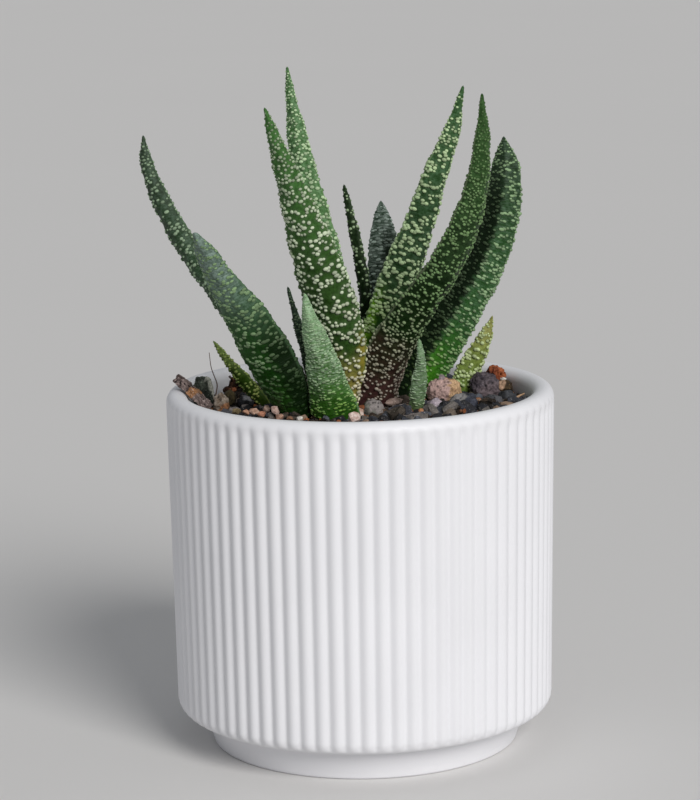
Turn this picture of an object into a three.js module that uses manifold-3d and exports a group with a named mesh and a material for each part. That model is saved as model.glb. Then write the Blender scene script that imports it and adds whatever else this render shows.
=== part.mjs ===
/**
 * A young warty gasteria in a ribbed white ceramic pot.
 *
 * Millimetres, +Z up. The origin is the centre of the pot's flat foot, and the pot's axis is Z.
 * Azimuths are measured round Z from +X, and -Y is the front of the plant.
 *
 * Each piece is one closed solid: the pot, the soil with its fused grit, the buried stem with its
 * roots, every leaf, and the larger stones and bits of bark that lie on the soil. Pieces that would
 * touch keep a small gap, so the soil has plain holes where the plant stands in it.
 */
import * as THREE from "three";
import { mergeVertices } from "three/addons/utils/BufferGeometryUtils.js";
import Module from "manifold-3d";

const wasm = await Module();
wasm.setup();

// ---------------------------------------------------------------- driving dimensions

const GAP = 0.3; // clearance between pieces that rest on each other
const FACET_TOLERANCE = 0.05; // slivers flatter than this, left by cutting, are merged away

const POT = {
  height: 102.1,
  radius: 55, // widest crest radius, near the top
  lowerRadius: 54, // crest radius just above the rounded bottom edge
  lowerHeight: 15,
  upperHeight: 97.4, // the ribs run at full depth up to here
  fadeHeight: 100, // and have died away here, on the rounded lip
  ribs: 80,
  ribDepth: 0.8,
  columnsPerRib: 3,
  ribTurn: THREE.MathUtils.degToRad(1.7), // turns one valley to its place beside the front
  lipRound: 3, // radius of the lip's rounded edges
  flareAngle: 110, // where the inside of the lip meets its flat top, in degrees
  mouthRadius: 48.7, // inner wall just below the lip
  innerLowerRadius: 48, // inner wall near the floor
  recessHeight: 9.5, // underside of the ribbed body, above the foot
  shoulderRadius: 50.4, // where that underside starts to curve up
  bevelHeight: 11.4, // and where the curve turns into the side; the ribs are full from here
  bevelRadius: 53.2,
  footRadius: 44,
  footTopRadius: 47,
  footBevel: 1,
  innerShelfHeight: 15, // the cast wall follows the foot's step inside
  innerShelfRadius: 41,
  innerShelfRise: 3, // height of the slanted corner between that step and the wall
  floorHeight: 5.5,
  floorRadius: 38.5,
  plainColumns: 60, // columns round the smooth foot and the inside
};

const SOIL = {
  height: 95.7, // level at the wall
  crown: 1.5, // rise towards the middle
  columns: 36,
  rings: 10, // rings of rubble between the wall and the middle
  rubble: 1.5, // height of the small grit that covers the soil
  grit: 26, // larger pieces of grit
  gritSize: [1.9, 3.3], // half sizes
  gritReach: 45.6, // largest radius that grit may touch
  heap: { at: [38.8, 22.4, 97.2], half: [3.8, 3.2, 2.4] }, // carries the scoria by the wall
};

const STEM = {
  centre: [-1, 0.5],
  topHeight: 87.5,
  shoulderHeight: 83,
  neckHeight: 75,
  bottomHeight: 70,
  radius: 12.5,
  neckRadius: 6.5,
  bevel: 2,
  columns: 14,
};

const WARTS = {
  height: 0.5,
  lowest: 98, // the buried part of a leaf is smooth
  fullFrom: 102,
  tipShare: 0.94, // the last stretch before the tip is smooth
  blankShare: 0.18, // share of places where no wart grows
};

const COLOURS = {
  ceramic: 0xe9e9ec,
  soil: 0x4a3d35,
  stem: 0x8a8258,
  leafDark: 0x24462a,
  leafMid: 0x3a6b32,
  leafBloom: 0x4d7463,
  leafPurple: 0x4b4638,
  leafYoung: 0x7d9440,
};

/** Where each kind of piece starts its random numbers. */
const SEEDS = { soil: 11, grit: 29, slab: 71, curl: 83, leaves: 100, stones: 200, gritShapes: 400 };

// ---------------------------------------------------------------- small helpers

/** Repeatable random numbers from 0 to 1. */
function seeded(seed) {
  let state = seed >>> 0;
  return () => {
    state = (state + 0x6d2b79f5) >>> 0;
    let t = state;
    t = Math.imul(t ^ (t >>> 15), t | 1);
    t ^= t + Math.imul(t ^ (t >>> 7), t | 61);
    return ((t ^ (t >>> 14)) >>> 0) / 4294967296;
  };
}

/** Keeps positions only, merges shared vertices and drops triangles that have closed up. */
function weld(geometry) {
  geometry.deleteAttribute("normal");
  geometry.deleteAttribute("uv");
  const welded = mergeVertices(geometry, 1e-4);
  const index = welded.index.array;
  const kept = [];
  for (let i = 0; i < index.length; i += 3) {
    const [a, b, c] = [index[i], index[i + 1], index[i + 2]];
    if (a !== b && b !== c && c !== a) kept.push(a, b, c);
  }
  welded.setIndex(kept);
  return welded;
}

function signedVolume(geometry) {
  const position = geometry.attributes.position;
  const index = geometry.index.array;
  const a = new THREE.Vector3();
  const b = new THREE.Vector3();
  const c = new THREE.Vector3();
  let volume = 0;
  for (let i = 0; i < index.length; i += 3) {
    a.fromBufferAttribute(position, index[i]);
    b.fromBufferAttribute(position, index[i + 1]);
    c.fromBufferAttribute(position, index[i + 2]);
    volume += a.dot(b.cross(c)) / 6;
  }
  return volume;
}

/** A closed geometry as a solid, with its faces turned outwards. */
function toSolid(geometry) {
  const welded = weld(geometry);
  const index = Uint32Array.from(welded.index.array);
  if (signedVolume(welded) < 0) index.reverse();
  const vertProperties = Float32Array.from(welded.attributes.position.array);
  return new wasm.Manifold(new wasm.Mesh({ numProp: 3, vertProperties, triVerts: index }));
}

/** The largest connected body of a solid; cutting may leave loose scraps. */
function largestBody(solid) {
  const bodies = solid.decompose();
  bodies.sort((a, b) => b.volume() - a.volume());
  return bodies[0];
}

function toGeometry(solid) {
  const mesh = solid.simplify(FACET_TOLERANCE).getMesh();
  const geometry = new THREE.BufferGeometry();
  geometry.setAttribute("position", new THREE.BufferAttribute(mesh.vertProperties, 3));
  geometry.setIndex(new THREE.BufferAttribute(mesh.triVerts, 1));
  return geometry;
}

function named(name, solid, colour, roughness = 0.6) {
  const material = new THREE.MeshStandardMaterial({ color: colour, roughness, metalness: 0 });
  const mesh = new THREE.Mesh(toGeometry(solid), material);
  mesh.name = name;
  return mesh;
}

/** A solid of revolution about Z from a profile of [radius, height] pairs that meets the axis. */
function turned(profile, columns) {
  const points = profile.map(([radius, height]) => new THREE.Vector2(radius, height));
  const lathe = new THREE.LatheGeometry(points, columns);
  lathe.rotateX(Math.PI / 2);
  return lathe;
}

/** Points on an arc in the [radius, height] plane, from one angle to another in degrees. */
function arc(centreRadius, centreHeight, size, fromDeg, toDeg, steps) {
  return Array.from({ length: steps + 1 }, (_, i) => {
    const angle = THREE.MathUtils.degToRad(fromDeg + ((toDeg - fromDeg) * i) / steps);
    return [centreRadius + size * Math.cos(angle), centreHeight + size * Math.sin(angle)];
  });
}

// ---------------------------------------------------------------- pot

/** How deep the valleys between the ribs are at a height, from 0 to 1. */
function ribStrength(height) {
  const { recessHeight, bevelHeight, upperHeight, fadeHeight } = POT;
  const above = 1 - THREE.MathUtils.smoothstep(height, upperHeight, fadeHeight);
  const below = THREE.MathUtils.smoothstep(height, recessHeight, bevelHeight);
  return above * below;
}

/** The ribbed body with no cavity: a lathe whose columns are drawn in along each valley. */
function ribbedBody() {
  const { height, radius, lipRound, recessHeight, shoulderRadius } = POT;
  const lipHeight = height - lipRound;
  const fadeAngle = THREE.MathUtils.radToDeg(Math.asin((POT.fadeHeight - lipHeight) / lipRound));
  const profile = [
    [0, recessHeight],
    [shoulderRadius, recessHeight],
    [POT.bevelRadius, POT.bevelHeight],
    [POT.lowerRadius, POT.lowerHeight],
    [radius, POT.upperHeight],
    ...arc(radius - lipRound, lipHeight, lipRound, fadeAngle, 90, 3),
    [0, height],
  ];
  const columns = POT.ribs * POT.columnsPerRib;
  const body = turned(profile, columns);
  const position = body.attributes.position;
  for (let i = 0; i < position.count; i += 1) {
    const column = Math.floor(i / profile.length);
    if (column % POT.columnsPerRib === 0) {
      const x = position.getX(i);
      const y = position.getY(i);
      const distance = Math.hypot(x, y);
      const drawn = POT.ribDepth * ribStrength(position.getZ(i));
      const scale = distance > POT.footTopRadius ? (distance - drawn) / distance : 1;
      position.setXY(i, x * scale, y * scale);
    }
  }
  // The lathe's first column points along -Y; turn its valley to where it belongs.
  body.rotateZ(-POT.ribTurn);
  return toSolid(body);
}

/** The inside of the pot, flared over the rounded lip and reaching a little above it. */
function cavity() {
  const { height, lipRound, mouthRadius, innerLowerRadius, floorHeight, floorRadius } = POT;
  const { innerShelfHeight, innerShelfRadius, innerShelfRise, flareAngle } = POT;
  const outermost = mouthRadius + lipRound;
  const above = height + lipRound;
  return turned(
    [
      [0, floorHeight],
      [floorRadius, floorHeight],
      [innerShelfRadius, innerShelfHeight - 1],
      [innerLowerRadius - 2, innerShelfHeight],
      [innerLowerRadius, innerShelfHeight + innerShelfRise],
      ...arc(outermost, height - lipRound, lipRound, 180, flareAngle, 2),
      [outermost, above],
      [0, above],
    ],
    POT.plainColumns,
  );
}

function buildPot() {
  const footTop = (POT.recessHeight + POT.bevelHeight) / 2; // a little way into the ribbed body
  const foot = turned(
    [
      [0, 0],
      [POT.footRadius - POT.footBevel, 0],
      [POT.footRadius, POT.footBevel],
      [POT.footTopRadius, footTop],
      [0, footTop],
    ],
    POT.plainColumns,
  );
  return ribbedBody().add(toSolid(foot)).subtract(toSolid(cavity()));
}

// ---------------------------------------------------------------- leaves

/**
 * Each leaf is a list of stations from its buried foot to its tip, [x, y, z, width, thickness].
 * `faces` is the azimuth, in degrees, of its rounded outer face at the foot and at the tip.
 * `keel` moves the outer ridge across the leaf, from -1 at one margin to 1 at the other, and
 * `keelShare`, where given, says how far the outer side is a ridge rather than round.
 */
const LEAVES = {
  leaf_10: {
    faces: [-98, -104],
    keel: -0.15,
    colour: COLOURS.leafBloom,
    stations: [
      [-3.5, -9.5, 86, 7, 3],
      [-5.2, -15.5, 91.5, 11.5, 4.2],
      [-6.9, -20, 98.5, 13.4, 4.8],
      [-8.9, -23, 107, 11.2, 4.4],
      [-11.1, -27, 117.5, 8, 3.4],
      [-13.4, -30, 126.3, 4.8, 2.2],
      [-14.6, -32, 133.5, 0.8, 0.8],
    ],
  },
  leaf_03: {
    faces: [-100, -108],
    keel: 0.1,
    colour: COLOURS.leafMid,
    stations: [
      [-4.5, -4.5, 86, 6, 3],
      [-6.2, -6.8, 94, 9, 4.4],
      [-5.7, -9.4, 104, 12, 5.2],
      [-5.4, -13, 114, 15, 5.8],
      [-7.2, -17.5, 126, 15, 5.8],
      [-10.4, -22.8, 138.5, 13.6, 5.2],
      [-13.8, -28, 150, 11.3, 4.6],
      [-17.7, -33, 163.5, 7.6, 3.6],
      [-21.2, -37, 174.7, 4.4, 2.4],
      [-24.1, -39, 184.5, 0.8, 0.8],
    ],
  },
  leaf_08: {
    faces: [-76, -62],
    keel: 0.35,
    colour: COLOURS.leafPurple,
    stations: [
      [2.5, -2.5, 86, 6.5, 3.2],
      [3.6, -3.4, 94, 10.5, 4.6],
      [5.2, -5.4, 103.5, 12.6, 5.6],
      [8.4, -9.4, 114, 12.8, 5.8],
      [15, -15.5, 126, 11.4, 5.4],
      [22.6, -23, 138, 10, 5],
      [28.6, -29, 150.5, 9, 4.4],
      [32.2, -33.6, 163.5, 6.6, 3.8],
      [33.5, -36.6, 175.5, 4.4, 2.8],
      [33.5, -38, 187.2, 0.8, 0.8],
    ],
  },
  leaf_02: {
    faces: [-112, -120],
    keel: 0.35,
    colour: COLOURS.leafBloom,
    stations: [
      [-10, -7, 86, 6, 3],
      [-15, -12, 92, 9, 5],
      [-18.2, -15.2, 98.5, 11, 6.4],
      [-21.8, -19, 108, 14.4, 7],
      [-26.6, -23, 118.5, 15.2, 6.6],
      [-31.6, -27, 128.5, 12.8, 5.4],
      [-37, -31, 137.5, 9.4, 4.4],
      [-40.9, -35, 145.8, 6.6, 3.4],
      [-43.6, -37.6, 151.4, 1.6, 1.2],
    ],
  },
  leaf_07: {
    faces: [-72, -64],
    keel: 0.55,
    colour: COLOURS.leafMid,
    stations: [
      [2.5, 4.2, 86, 6, 3],
      [2.6, 5.4, 95, 7.5, 3.8],
      [3, 6.2, 107, 8.8, 4.4],
      [7.6, 5, 121.5, 11, 5],
      [12.5, 4, 134.7, 11.2, 4.8],
      [17.7, 3, 148.4, 8.9, 4.2],
      [22.4, 2, 162.6, 7, 3.6],
      [26.9, 2, 174, 4.8, 2.6],
      [30.1, 2, 186.2, 0.8, 0.8],
    ],
  },
  leaf_04: {
    faces: [-104, -110],
    keel: 0.2,
    colour: COLOURS.leafMid,
    stations: [
      [-4.5, 4.5, 86, 6, 3],
      [-5.6, 5.6, 96, 8.2, 4],
      [-6, 7, 108, 10, 4.8],
      [-7.2, 8.6, 122, 12, 5],
      [-9.8, 10, 135.6, 12, 4.8],
      [-13, 12, 150.7, 10.3, 4.2],
      [-15.2, 14, 162, 8, 3.6],
      [-16.9, 15.2, 173.8, 5.4, 2.8],
      [-18.2, 16, 182.8, 3, 1.8],
      [-19.1, 16.4, 191.3, 0.8, 0.8],
    ],
  },
  leaf_09: {
    faces: [-90, -98],
    keel: 0,
    keelShare: 0.9,
    colour: COLOURS.leafDark,
    stations: [
      [8, 3.5, 86, 6.5, 3.4],
      [11.6, 4.8, 93.5, 10, 5.4],
      [15.4, 6.2, 101, 13, 7],
      [21, 8, 110.8, 14.6, 8],
      [28.9, 10, 123.5, 13.8, 8],
      [36.2, 11, 136.1, 12.2, 7.2],
      [40.8, 12, 148.9, 11, 6.2],
      [42.5, 13, 160.2, 8.8, 5],
      [42.3, 13.4, 166.8, 5, 3],
      [42.1, 13.6, 170.7, 0.9, 0.9],
    ],
  },
  leaf_01: {
    faces: [-118, -112],
    keel: 0,
    colour: COLOURS.leafDark,
    stations: [
      [-10.5, 1.2, 87, 5, 3],
      [-15, 1.8, 94.5, 6.4, 4],
      [-21.3, 3, 102.5, 7.4, 4.6],
      [-31.2, 6.6, 116.6, 7.8, 4.8],
      [-40.3, 10, 129.4, 7.4, 4.6],
      [-48, 13, 139.9, 6.8, 4.2],
      [-53.5, 15, 149.4, 6.2, 3.8],
      [-57.8, 16, 158.7, 5, 3.2],
      [-60, 17, 165.8, 3.6, 2.4],
      [-60.6, 17.2, 172.4, 0.8, 0.8],
    ],
  },
  leaf_05: {
    faces: [80, 60],
    keel: 0,
    colour: COLOURS.leafDark,
    stations: [
      [0.8, 9.8, 87, 3, 2],
      [2.2, 10.6, 101, 3.6, 2.4],
      [2.4, 11, 116.6, 3.7, 2.5],
      [1.8, 12.4, 128, 3.6, 2.4],
      [0.1, 14, 139.2, 3.4, 2.2],
      [-2, 15, 149.8, 2.5, 1.7],
      [-3.5, 16, 157.5, 0.8, 0.8],
    ],
  },
  leaf_06: {
    faces: [84, 80],
    keel: 0,
    colour: COLOURS.leafDark,
    stations: [
      [4.5, 12.2, 87, 5.5, 3],
      [6, 15.5, 97, 8, 4],
      [7.2, 19, 110, 10, 4.6],
      [7.8, 22, 122, 11, 4.6],
      [7.9, 25, 133, 10, 4],
      [7.4, 28, 144.5, 6.4, 2.8],
      [7.1, 30, 151, 0.9, 0.9],
    ],
  },
  leaf_14: {
    faces: [-110, -110],
    keel: 0,
    colour: COLOURS.leafDark,
    stations: [
      [-10, -2.6, 88, 2.2, 1.8],
      [-12, -3.4, 96.5, 2.6, 2],
      [-13.6, -4, 105, 2.7, 2],
      [-15.9, -3.2, 115, 2.6, 1.8],
      [-17.9, -2.2, 123.4, 2.1, 1.5],
      [-19.8, -1, 130.8, 0.7, 0.7],
    ],
  },
  leaf_11: {
    faces: [-70, -80],
    keel: 0,
    colour: COLOURS.leafBloom,
    stations: [
      [14.8, -11.2, 88, 3.2, 2.2],
      [15.5, -13, 97.5, 4.4, 2.6],
      [16.4, -15, 105.6, 4.3, 2.4],
      [17, -16.8, 112.4, 2.7, 1.8],
      [16.5, -18, 118.2, 0.7, 0.7],
    ],
  },
  leaf_12: {
    faces: [-70, -60],
    keel: 0.1,
    colour: COLOURS.leafYoung,
    stations: [
      [27, 13.6, 88, 4, 2.6],
      [29.3, 14, 97.9, 7, 3.6],
      [32.2, 14, 105.2, 7, 3.4],
      [35.7, 14, 111.9, 5, 2.6],
      [38.4, 14, 119.1, 0.7, 0.7],
    ],
  },
  leaf_13: {
    faces: [-125, -120],
    keel: 0,
    colour: COLOURS.leafYoung,
    stations: [
      [-23.8, 4, 89, 3, 2],
      [-28, 3, 97.5, 4.6, 2.8],
      [-32.4, 2, 103.3, 4.4, 2.5],
      [-36.8, 1, 109.3, 3, 1.9],
      [-41.1, 0, 115.6, 0.6, 0.6],
    ],
  },
};

const LEAF = {
  step: 2.9, // distance between rings along a leaf
  coarseStep: 6, // and on the copies that only cut clearances
  around: 10,
  aroundSmall: 8,
  smallWidth: 7, // leaves narrower than this get fewer columns
  outerShare: 0.62, // share of the thickness on the rounded outer side
  keelShare: 0.5, // of a leaf that gives none of its own
};

/** The leaf's middle line and its width and thickness, as two curves with one parameter. */
function leafCurves(leaf) {
  const line = leaf.stations.map(([x, y, z]) => new THREE.Vector3(x, y, z));
  const sizes = leaf.stations.map(([, , , width, thickness], i) => {
    return new THREE.Vector3(width, thickness, i);
  });
  return {
    line: new THREE.CatmullRomCurve3(line, false, "catmullrom", 0.5),
    sizes: new THREE.CatmullRomCurve3(sizes, false, "catmullrom", 0.5),
  };
}

/** Height of the section above the leaf's middle plane at an angle round it. */
function sectionHeight(angle, thickness, { keel, keelShare = LEAF.keelShare }) {
  const across = Math.cos(angle);
  const up = Math.sin(angle);
  if (up < 0) return (1 - LEAF.outerShare) * thickness * up;
  const ridge = across < keel ? (across + 1) / (keel + 1) : (1 - across) / (1 - keel);
  return LEAF.outerShare * thickness * ((1 - keelShare) * up + keelShare * ridge);
}

/** How strongly warts stand out at a height above the soil and a share of the leaf's length. */
function wartStrength(height, share) {
  const aboveSoil = THREE.MathUtils.smoothstep(height, WARTS.lowest, WARTS.fullFrom);
  const belowTip = 1 - THREE.MathUtils.smoothstep(share, WARTS.tipShare, 1);
  return aboveSoil * belowTip;
}

/**
 * A leaf as a closed surface: a sphere's rings are laid along the middle line. `grow` moves the
 * whole surface out, and `warts` raises every other vertex, a little unevenly, in crossed rows.
 */
function leafSurface(leaf, { step, grow = 0, warts = false, seed = 1 }) {
  const { line, sizes } = leafCurves(leaf);
  const random = seeded(seed);
  const widest = Math.max(...leaf.stations.map((station) => station[3]));
  const around = widest < LEAF.smallWidth ? LEAF.aroundSmall : LEAF.around;
  const rings = Math.max(5, Math.round(line.getLength() / step));
  const surface = new THREE.SphereGeometry(1, around, rings);
  const { position, uv } = surface.attributes;
  const raises = Array.from({ length: around * (rings + 1) }, () => {
    return random() < WARTS.blankShare ? 0 : 0.6 + 0.4 * random();
  });

  for (let i = 0; i < position.count; i += 1) {
    const ring = Math.round(uv.getY(i) * rings);
    const isPole = ring === 0 || ring === rings;
    const share = Math.max(0, (ring - 1) / (rings - 1));
    const column = Math.round(uv.getX(i) * around) % around;
    const angle = (2 * Math.PI * column) / around;

    const centre = line.getPoint(share);
    const tangent = line.getTangent(share);
    const size = sizes.getPoint(share);
    const azimuth = THREE.MathUtils.lerp(leaf.faces[0], leaf.faces[1], share);
    const facing = new THREE.Vector3(1, 0, 0);
    facing.applyAxisAngle(new THREE.Vector3(0, 0, 1), THREE.MathUtils.degToRad(azimuth));
    facing.addScaledVector(tangent, -facing.dot(tangent)).normalize();
    const side = new THREE.Vector3().crossVectors(tangent, facing);

    if (isPole) {
      centre.addScaledVector(tangent, ring === 0 ? -grow : grow);
    } else {
      const across = (Math.cos(angle) * size.x) / 2;
      const up = sectionHeight(angle, size.y, leaf);
      const outward = new THREE.Vector3()
        .addScaledVector(side, Math.cos(angle) / size.x)
        .addScaledVector(facing, Math.sin(angle) / size.y)
        .normalize();
      const hasWart = warts && (ring + column) % 2 === 0;
      const strength = hasWart ? wartStrength(centre.z, share) : 0;
      const slim = Math.min(1, size.y / 2);
      const raise = strength * slim * WARTS.height * raises[ring * around + column];
      centre.addScaledVector(side, across);
      centre.addScaledVector(facing, up);
      centre.addScaledVector(outward, grow + raise);
      if (ring === 1) centre.addScaledVector(tangent, -grow);
    }
    position.setXYZ(i, centre.x, centre.y, centre.z);
  }
  return surface;
}

function leafSolid(leaf, seed) {
  return toSolid(leafSurface(leaf, { step: LEAF.step, warts: true, seed }));
}

/** A smooth, slightly larger copy of a leaf, to cut what would touch it. */
function leafClearance(leaf, grow) {
  return toSolid(leafSurface(leaf, { step: LEAF.coarseStep, grow }));
}

// ---------------------------------------------------------------- stem and roots

/** Fleshy roots, each from the stem's underside to its end, as [x, y, z] points. */
const ROOTS = [
  [[-4, -2, 80], [-12, -9, 66], [-15, -17, 46], [-11, -24, 30]],
  [[3, -3, 80], [12, -8, 64], [17, -7, 44], [22, -13, 27]],
  [[3, 4, 80], [10, 12, 66], [9, 21, 48], [14, 27, 33]],
  [[-5, 3, 80], [-13, 10, 67], [-18, 12, 50], [-17, 22, 36]],
];
const ROOT = { width: 4.4, tipWidth: 1.4, around: 5, step: 12 };

/** A tapering root as a closed surface along its points. */
function rootSurface(points, grow) {
  const line = new THREE.CatmullRomCurve3(points.map((p) => new THREE.Vector3(...p)));
  const rings = Math.round(line.getLength() / ROOT.step);
  const surface = new THREE.SphereGeometry(1, ROOT.around, rings);
  const { position, uv } = surface.attributes;
  for (let i = 0; i < position.count; i += 1) {
    const ring = Math.round(uv.getY(i) * rings);
    const share = ring / rings;
    const angle = 2 * Math.PI * uv.getX(i);
    const centre = line.getPoint(share);
    const tangent = line.getTangent(share);
    const side = new THREE.Vector3(1, 0, 0).cross(tangent).normalize();
    const other = new THREE.Vector3().crossVectors(tangent, side);
    if (ring === 0 || ring === rings) {
      centre.addScaledVector(tangent, ring === 0 ? -grow : grow);
    } else {
      const radius = THREE.MathUtils.lerp(ROOT.width, ROOT.tipWidth, share) / 2 + grow;
      centre.addScaledVector(side, radius * Math.cos(angle));
      centre.addScaledVector(other, radius * Math.sin(angle));
    }
    position.setXYZ(i, centre.x, centre.y, centre.z);
  }
  return surface;
}

/** The short stem that the leaves grow from, with its roots, all below the soil's surface. */
function stemSolid(grow) {
  const { centre, topHeight, shoulderHeight, neckHeight, bottomHeight } = STEM;
  const { radius, neckRadius, bevel, columns } = STEM;
  const stem = turned(
    [
      [0, bottomHeight - grow],
      [neckRadius - bevel + grow, bottomHeight - grow],
      [neckRadius + grow, neckHeight],
      [radius + grow, shoulderHeight],
      [radius - bevel + grow, shoulderHeight + bevel + grow],
      [0, topHeight + grow],
    ],
    columns,
  );
  stem.translate(centre[0], centre[1], 0);
  return ROOTS.reduce((solid, points) => {
    return solid.add(toSolid(rootSurface(points, grow)));
  }, toSolid(stem));
}

// ---------------------------------------------------------------- stones and bark

/**
 * Larger stones and lumps that lie on the soil: centre [x, y, z], half sizes, turn about Z in
 * degrees, how far the corners are knocked about, and whether the ball has extra corners.
 */
const STONES = {
  rock_tan: { at: [24, 1.2, 100], half: [4.9, 3.6, 4], turn: 10, rough: 0.12, detail: 1 },
  rock_lava: { at: [35.9, 11.4, 98.6], half: [4.6, 4.1, 4.8], turn: -20, rough: 0.14, detail: 1 },
  rock_slate: { at: [29.3, -6, 97.8], half: [4.7, 3.5, 2.9], turn: -8, rough: 0.12, detail: 1 },
  rock_scoria: { at: [39.2, 21, 100.9], half: [3, 2.8, 2.7], turn: 30, rough: 0.16, detail: 1 },
  rock_brown: { at: [41.8, 16, 98.1], half: [2.9, 2.6, 2.6], turn: 0, rough: 0.12, detail: 0 },
  rock_grey: { at: [37.2, -1.2, 96.9], half: [3.8, 3, 2.5], turn: 20, rough: 0.12, detail: 0 },
  rock_round: { at: [42.2, 5, 97], half: [3.4, 2.8, 2.3], turn: -40, rough: 0.12, detail: 0 },
  rock_lilac: { at: [20.9, -10.2, 97.7], half: [3, 2.7, 2.7], turn: -30, rough: 0.1, detail: 0 },
  rock_quartz: { at: [-1.4, -18, 97.5], half: [2.7, 2.3, 2.3], turn: 25, rough: 0.12, detail: 0 },
  rock_green: { at: [3.4, -12.6, 97.7], half: [3.5, 3.1, 3.1], turn: -15, rough: 0.12, detail: 1 },
  rock_dark: { at: [10.3, -15, 97.2], half: [3.3, 2.8, 2.7], turn: 35, rough: 0.14, detail: 0 },
  rock_black: { at: [-32.6, 2.4, 97.4], half: [3.1, 2.5, 2.4], turn: 15, rough: 0.14, detail: 0 },
  chip_flat: { at: [8.8, -5.8, 98.5], half: [3.4, 2.5, 1.3], turn: 5, rough: 0.12, detail: 0 },
  chip_cream: { at: [-39.4, -1.4, 98], half: [2.7, 1.8, 3.4], turn: -20, rough: 0.12, detail: 0 },
  bark_lump: { at: [-35.6, 19.6, 98], half: [3.6, 3.2, 3.8], turn: 0, rough: 0.2, detail: 1 },
};

const STONE_COLOURS = {
  rock_tan: 0xb3937a,
  rock_lava: 0x514a55,
  rock_slate: 0x43454f,
  rock_scoria: 0x9c4a2c,
  rock_brown: 0x57462f,
  rock_grey: 0x4c4c52,
  rock_round: 0x45464c,
  rock_lilac: 0xb8b0ba,
  rock_quartz: 0xded6cf,
  rock_green: 0x6d6f68,
  rock_dark: 0x46454b,
  rock_black: 0x26262a,
  chip_flat: 0xc9b6a4,
  chip_cream: 0xcdbba0,
  bark_lump: 0x5b3d2c,
};

/** A knobbly stone: a fine or coarse ball with its corners moved in and out. */
function stoneSurface({ at, half, turn, rough, detail, seed }, grow) {
  const random = seeded(seed);
  const ball = weld(new THREE.IcosahedronGeometry(1, detail));
  const position = ball.attributes.position;
  const spin = THREE.MathUtils.degToRad(turn);
  for (let i = 0; i < position.count; i += 1) {
    const corner = new THREE.Vector3().fromBufferAttribute(position, i);
    corner.multiplyScalar(1 + rough * (2 * random() - 1));
    corner.x *= half[0] + grow;
    corner.y *= half[1] + grow;
    corner.z *= half[2] + grow;
    corner.applyAxisAngle(new THREE.Vector3(0, 0, 1), spin);
    position.setXYZ(i, corner.x + at[0], corner.y + at[1], corner.z + at[2]);
  }
  return ball;
}

/**
 * A rough slab of bark that leans on the lip, from its low end on the soil to its high end, and a
 * curled flake of bark that stands by the wall beside it.
 */
const BARK = {
  slab: { low: [-42.9, -7.5, 98.4], high: [-51.7, 0.5, 105.2], width: 4.2, thickness: 2.2, roll: 26 },
  curl: { length: 10.8, width: 6, thickness: 1.2, radius: 12, sunk: 1.6, turn: -95 },
  curlAt: [-44.6, 3],
  slabColour: 0x6b584c,
  curlColour: 0x4d5048,
  segments: [5, 2, 1],
  roughness: 0.3,
  narrowing: 0.35, // share of the width that is lost at either end
};

/** A box with its vertices moved about a little, as a split piece of bark is. */
function roughPlank({ length, width, thickness }, seed, grow) {
  const [along, across, through] = BARK.segments;
  const plank = weld(new THREE.BoxGeometry(1, 1, 1, along, across, through));
  const position = plank.attributes.position;
  const random = seeded(seed);
  for (let i = 0; i < position.count; i += 1) {
    const end = 2 * Math.abs(position.getX(i));
    const narrowing = 1 - BARK.narrowing * end * end;
    position.setXYZ(
      i,
      position.getX(i) * (length + 2 * grow) + BARK.roughness * 2 * (random() - 0.5),
      position.getY(i) * narrowing * (width + 2 * grow) + BARK.roughness * (random() - 0.5),
      position.getZ(i) * (thickness + 2 * grow + BARK.roughness * random()),
    );
  }
  return plank;
}

function barkSlab(grow) {
  const { low, high, width, thickness, roll } = BARK.slab;
  const from = new THREE.Vector3(...low);
  const along = new THREE.Vector3(...high).sub(from);
  const plank = roughPlank({ length: along.length(), width, thickness }, SEEDS.slab, grow);
  const middle = from.clone().addScaledVector(along, 0.5);
  along.normalize();
  const across = new THREE.Vector3(0, 0, 1).cross(along).normalize();
  const upper = new THREE.Vector3().crossVectors(along, across);
  const placed = new THREE.Matrix4().makeBasis(along, across, upper).setPosition(middle);
  plank.rotateX(THREE.MathUtils.degToRad(roll));
  plank.applyMatrix4(placed);
  return toSolid(plank);
}

function barkCurl(grow) {
  const { radius, length, sunk, turn } = BARK.curl;
  const plank = roughPlank(BARK.curl, SEEDS.curl, grow);
  const position = plank.attributes.position;
  for (let i = 0; i < position.count; i += 1) {
    const angle = position.getY(i) / radius;
    const reach = radius + position.getZ(i);
    const standing = length / 2 - sunk + position.getX(i);
    position.setXYZ(i, reach * Math.cos(angle) - radius, reach * Math.sin(angle), standing);
  }
  plank.rotateZ(THREE.MathUtils.degToRad(turn));
  plank.translate(BARK.curlAt[0], BARK.curlAt[1], SOIL.height);
  return toSolid(plank);
}

// ---------------------------------------------------------------- soil

/** Mean level of the soil at a distance from the pot's axis. */
function soilLevel(distance) {
  return SOIL.height + SOIL.crown * (1 - distance / POT.mouthRadius);
}

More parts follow.
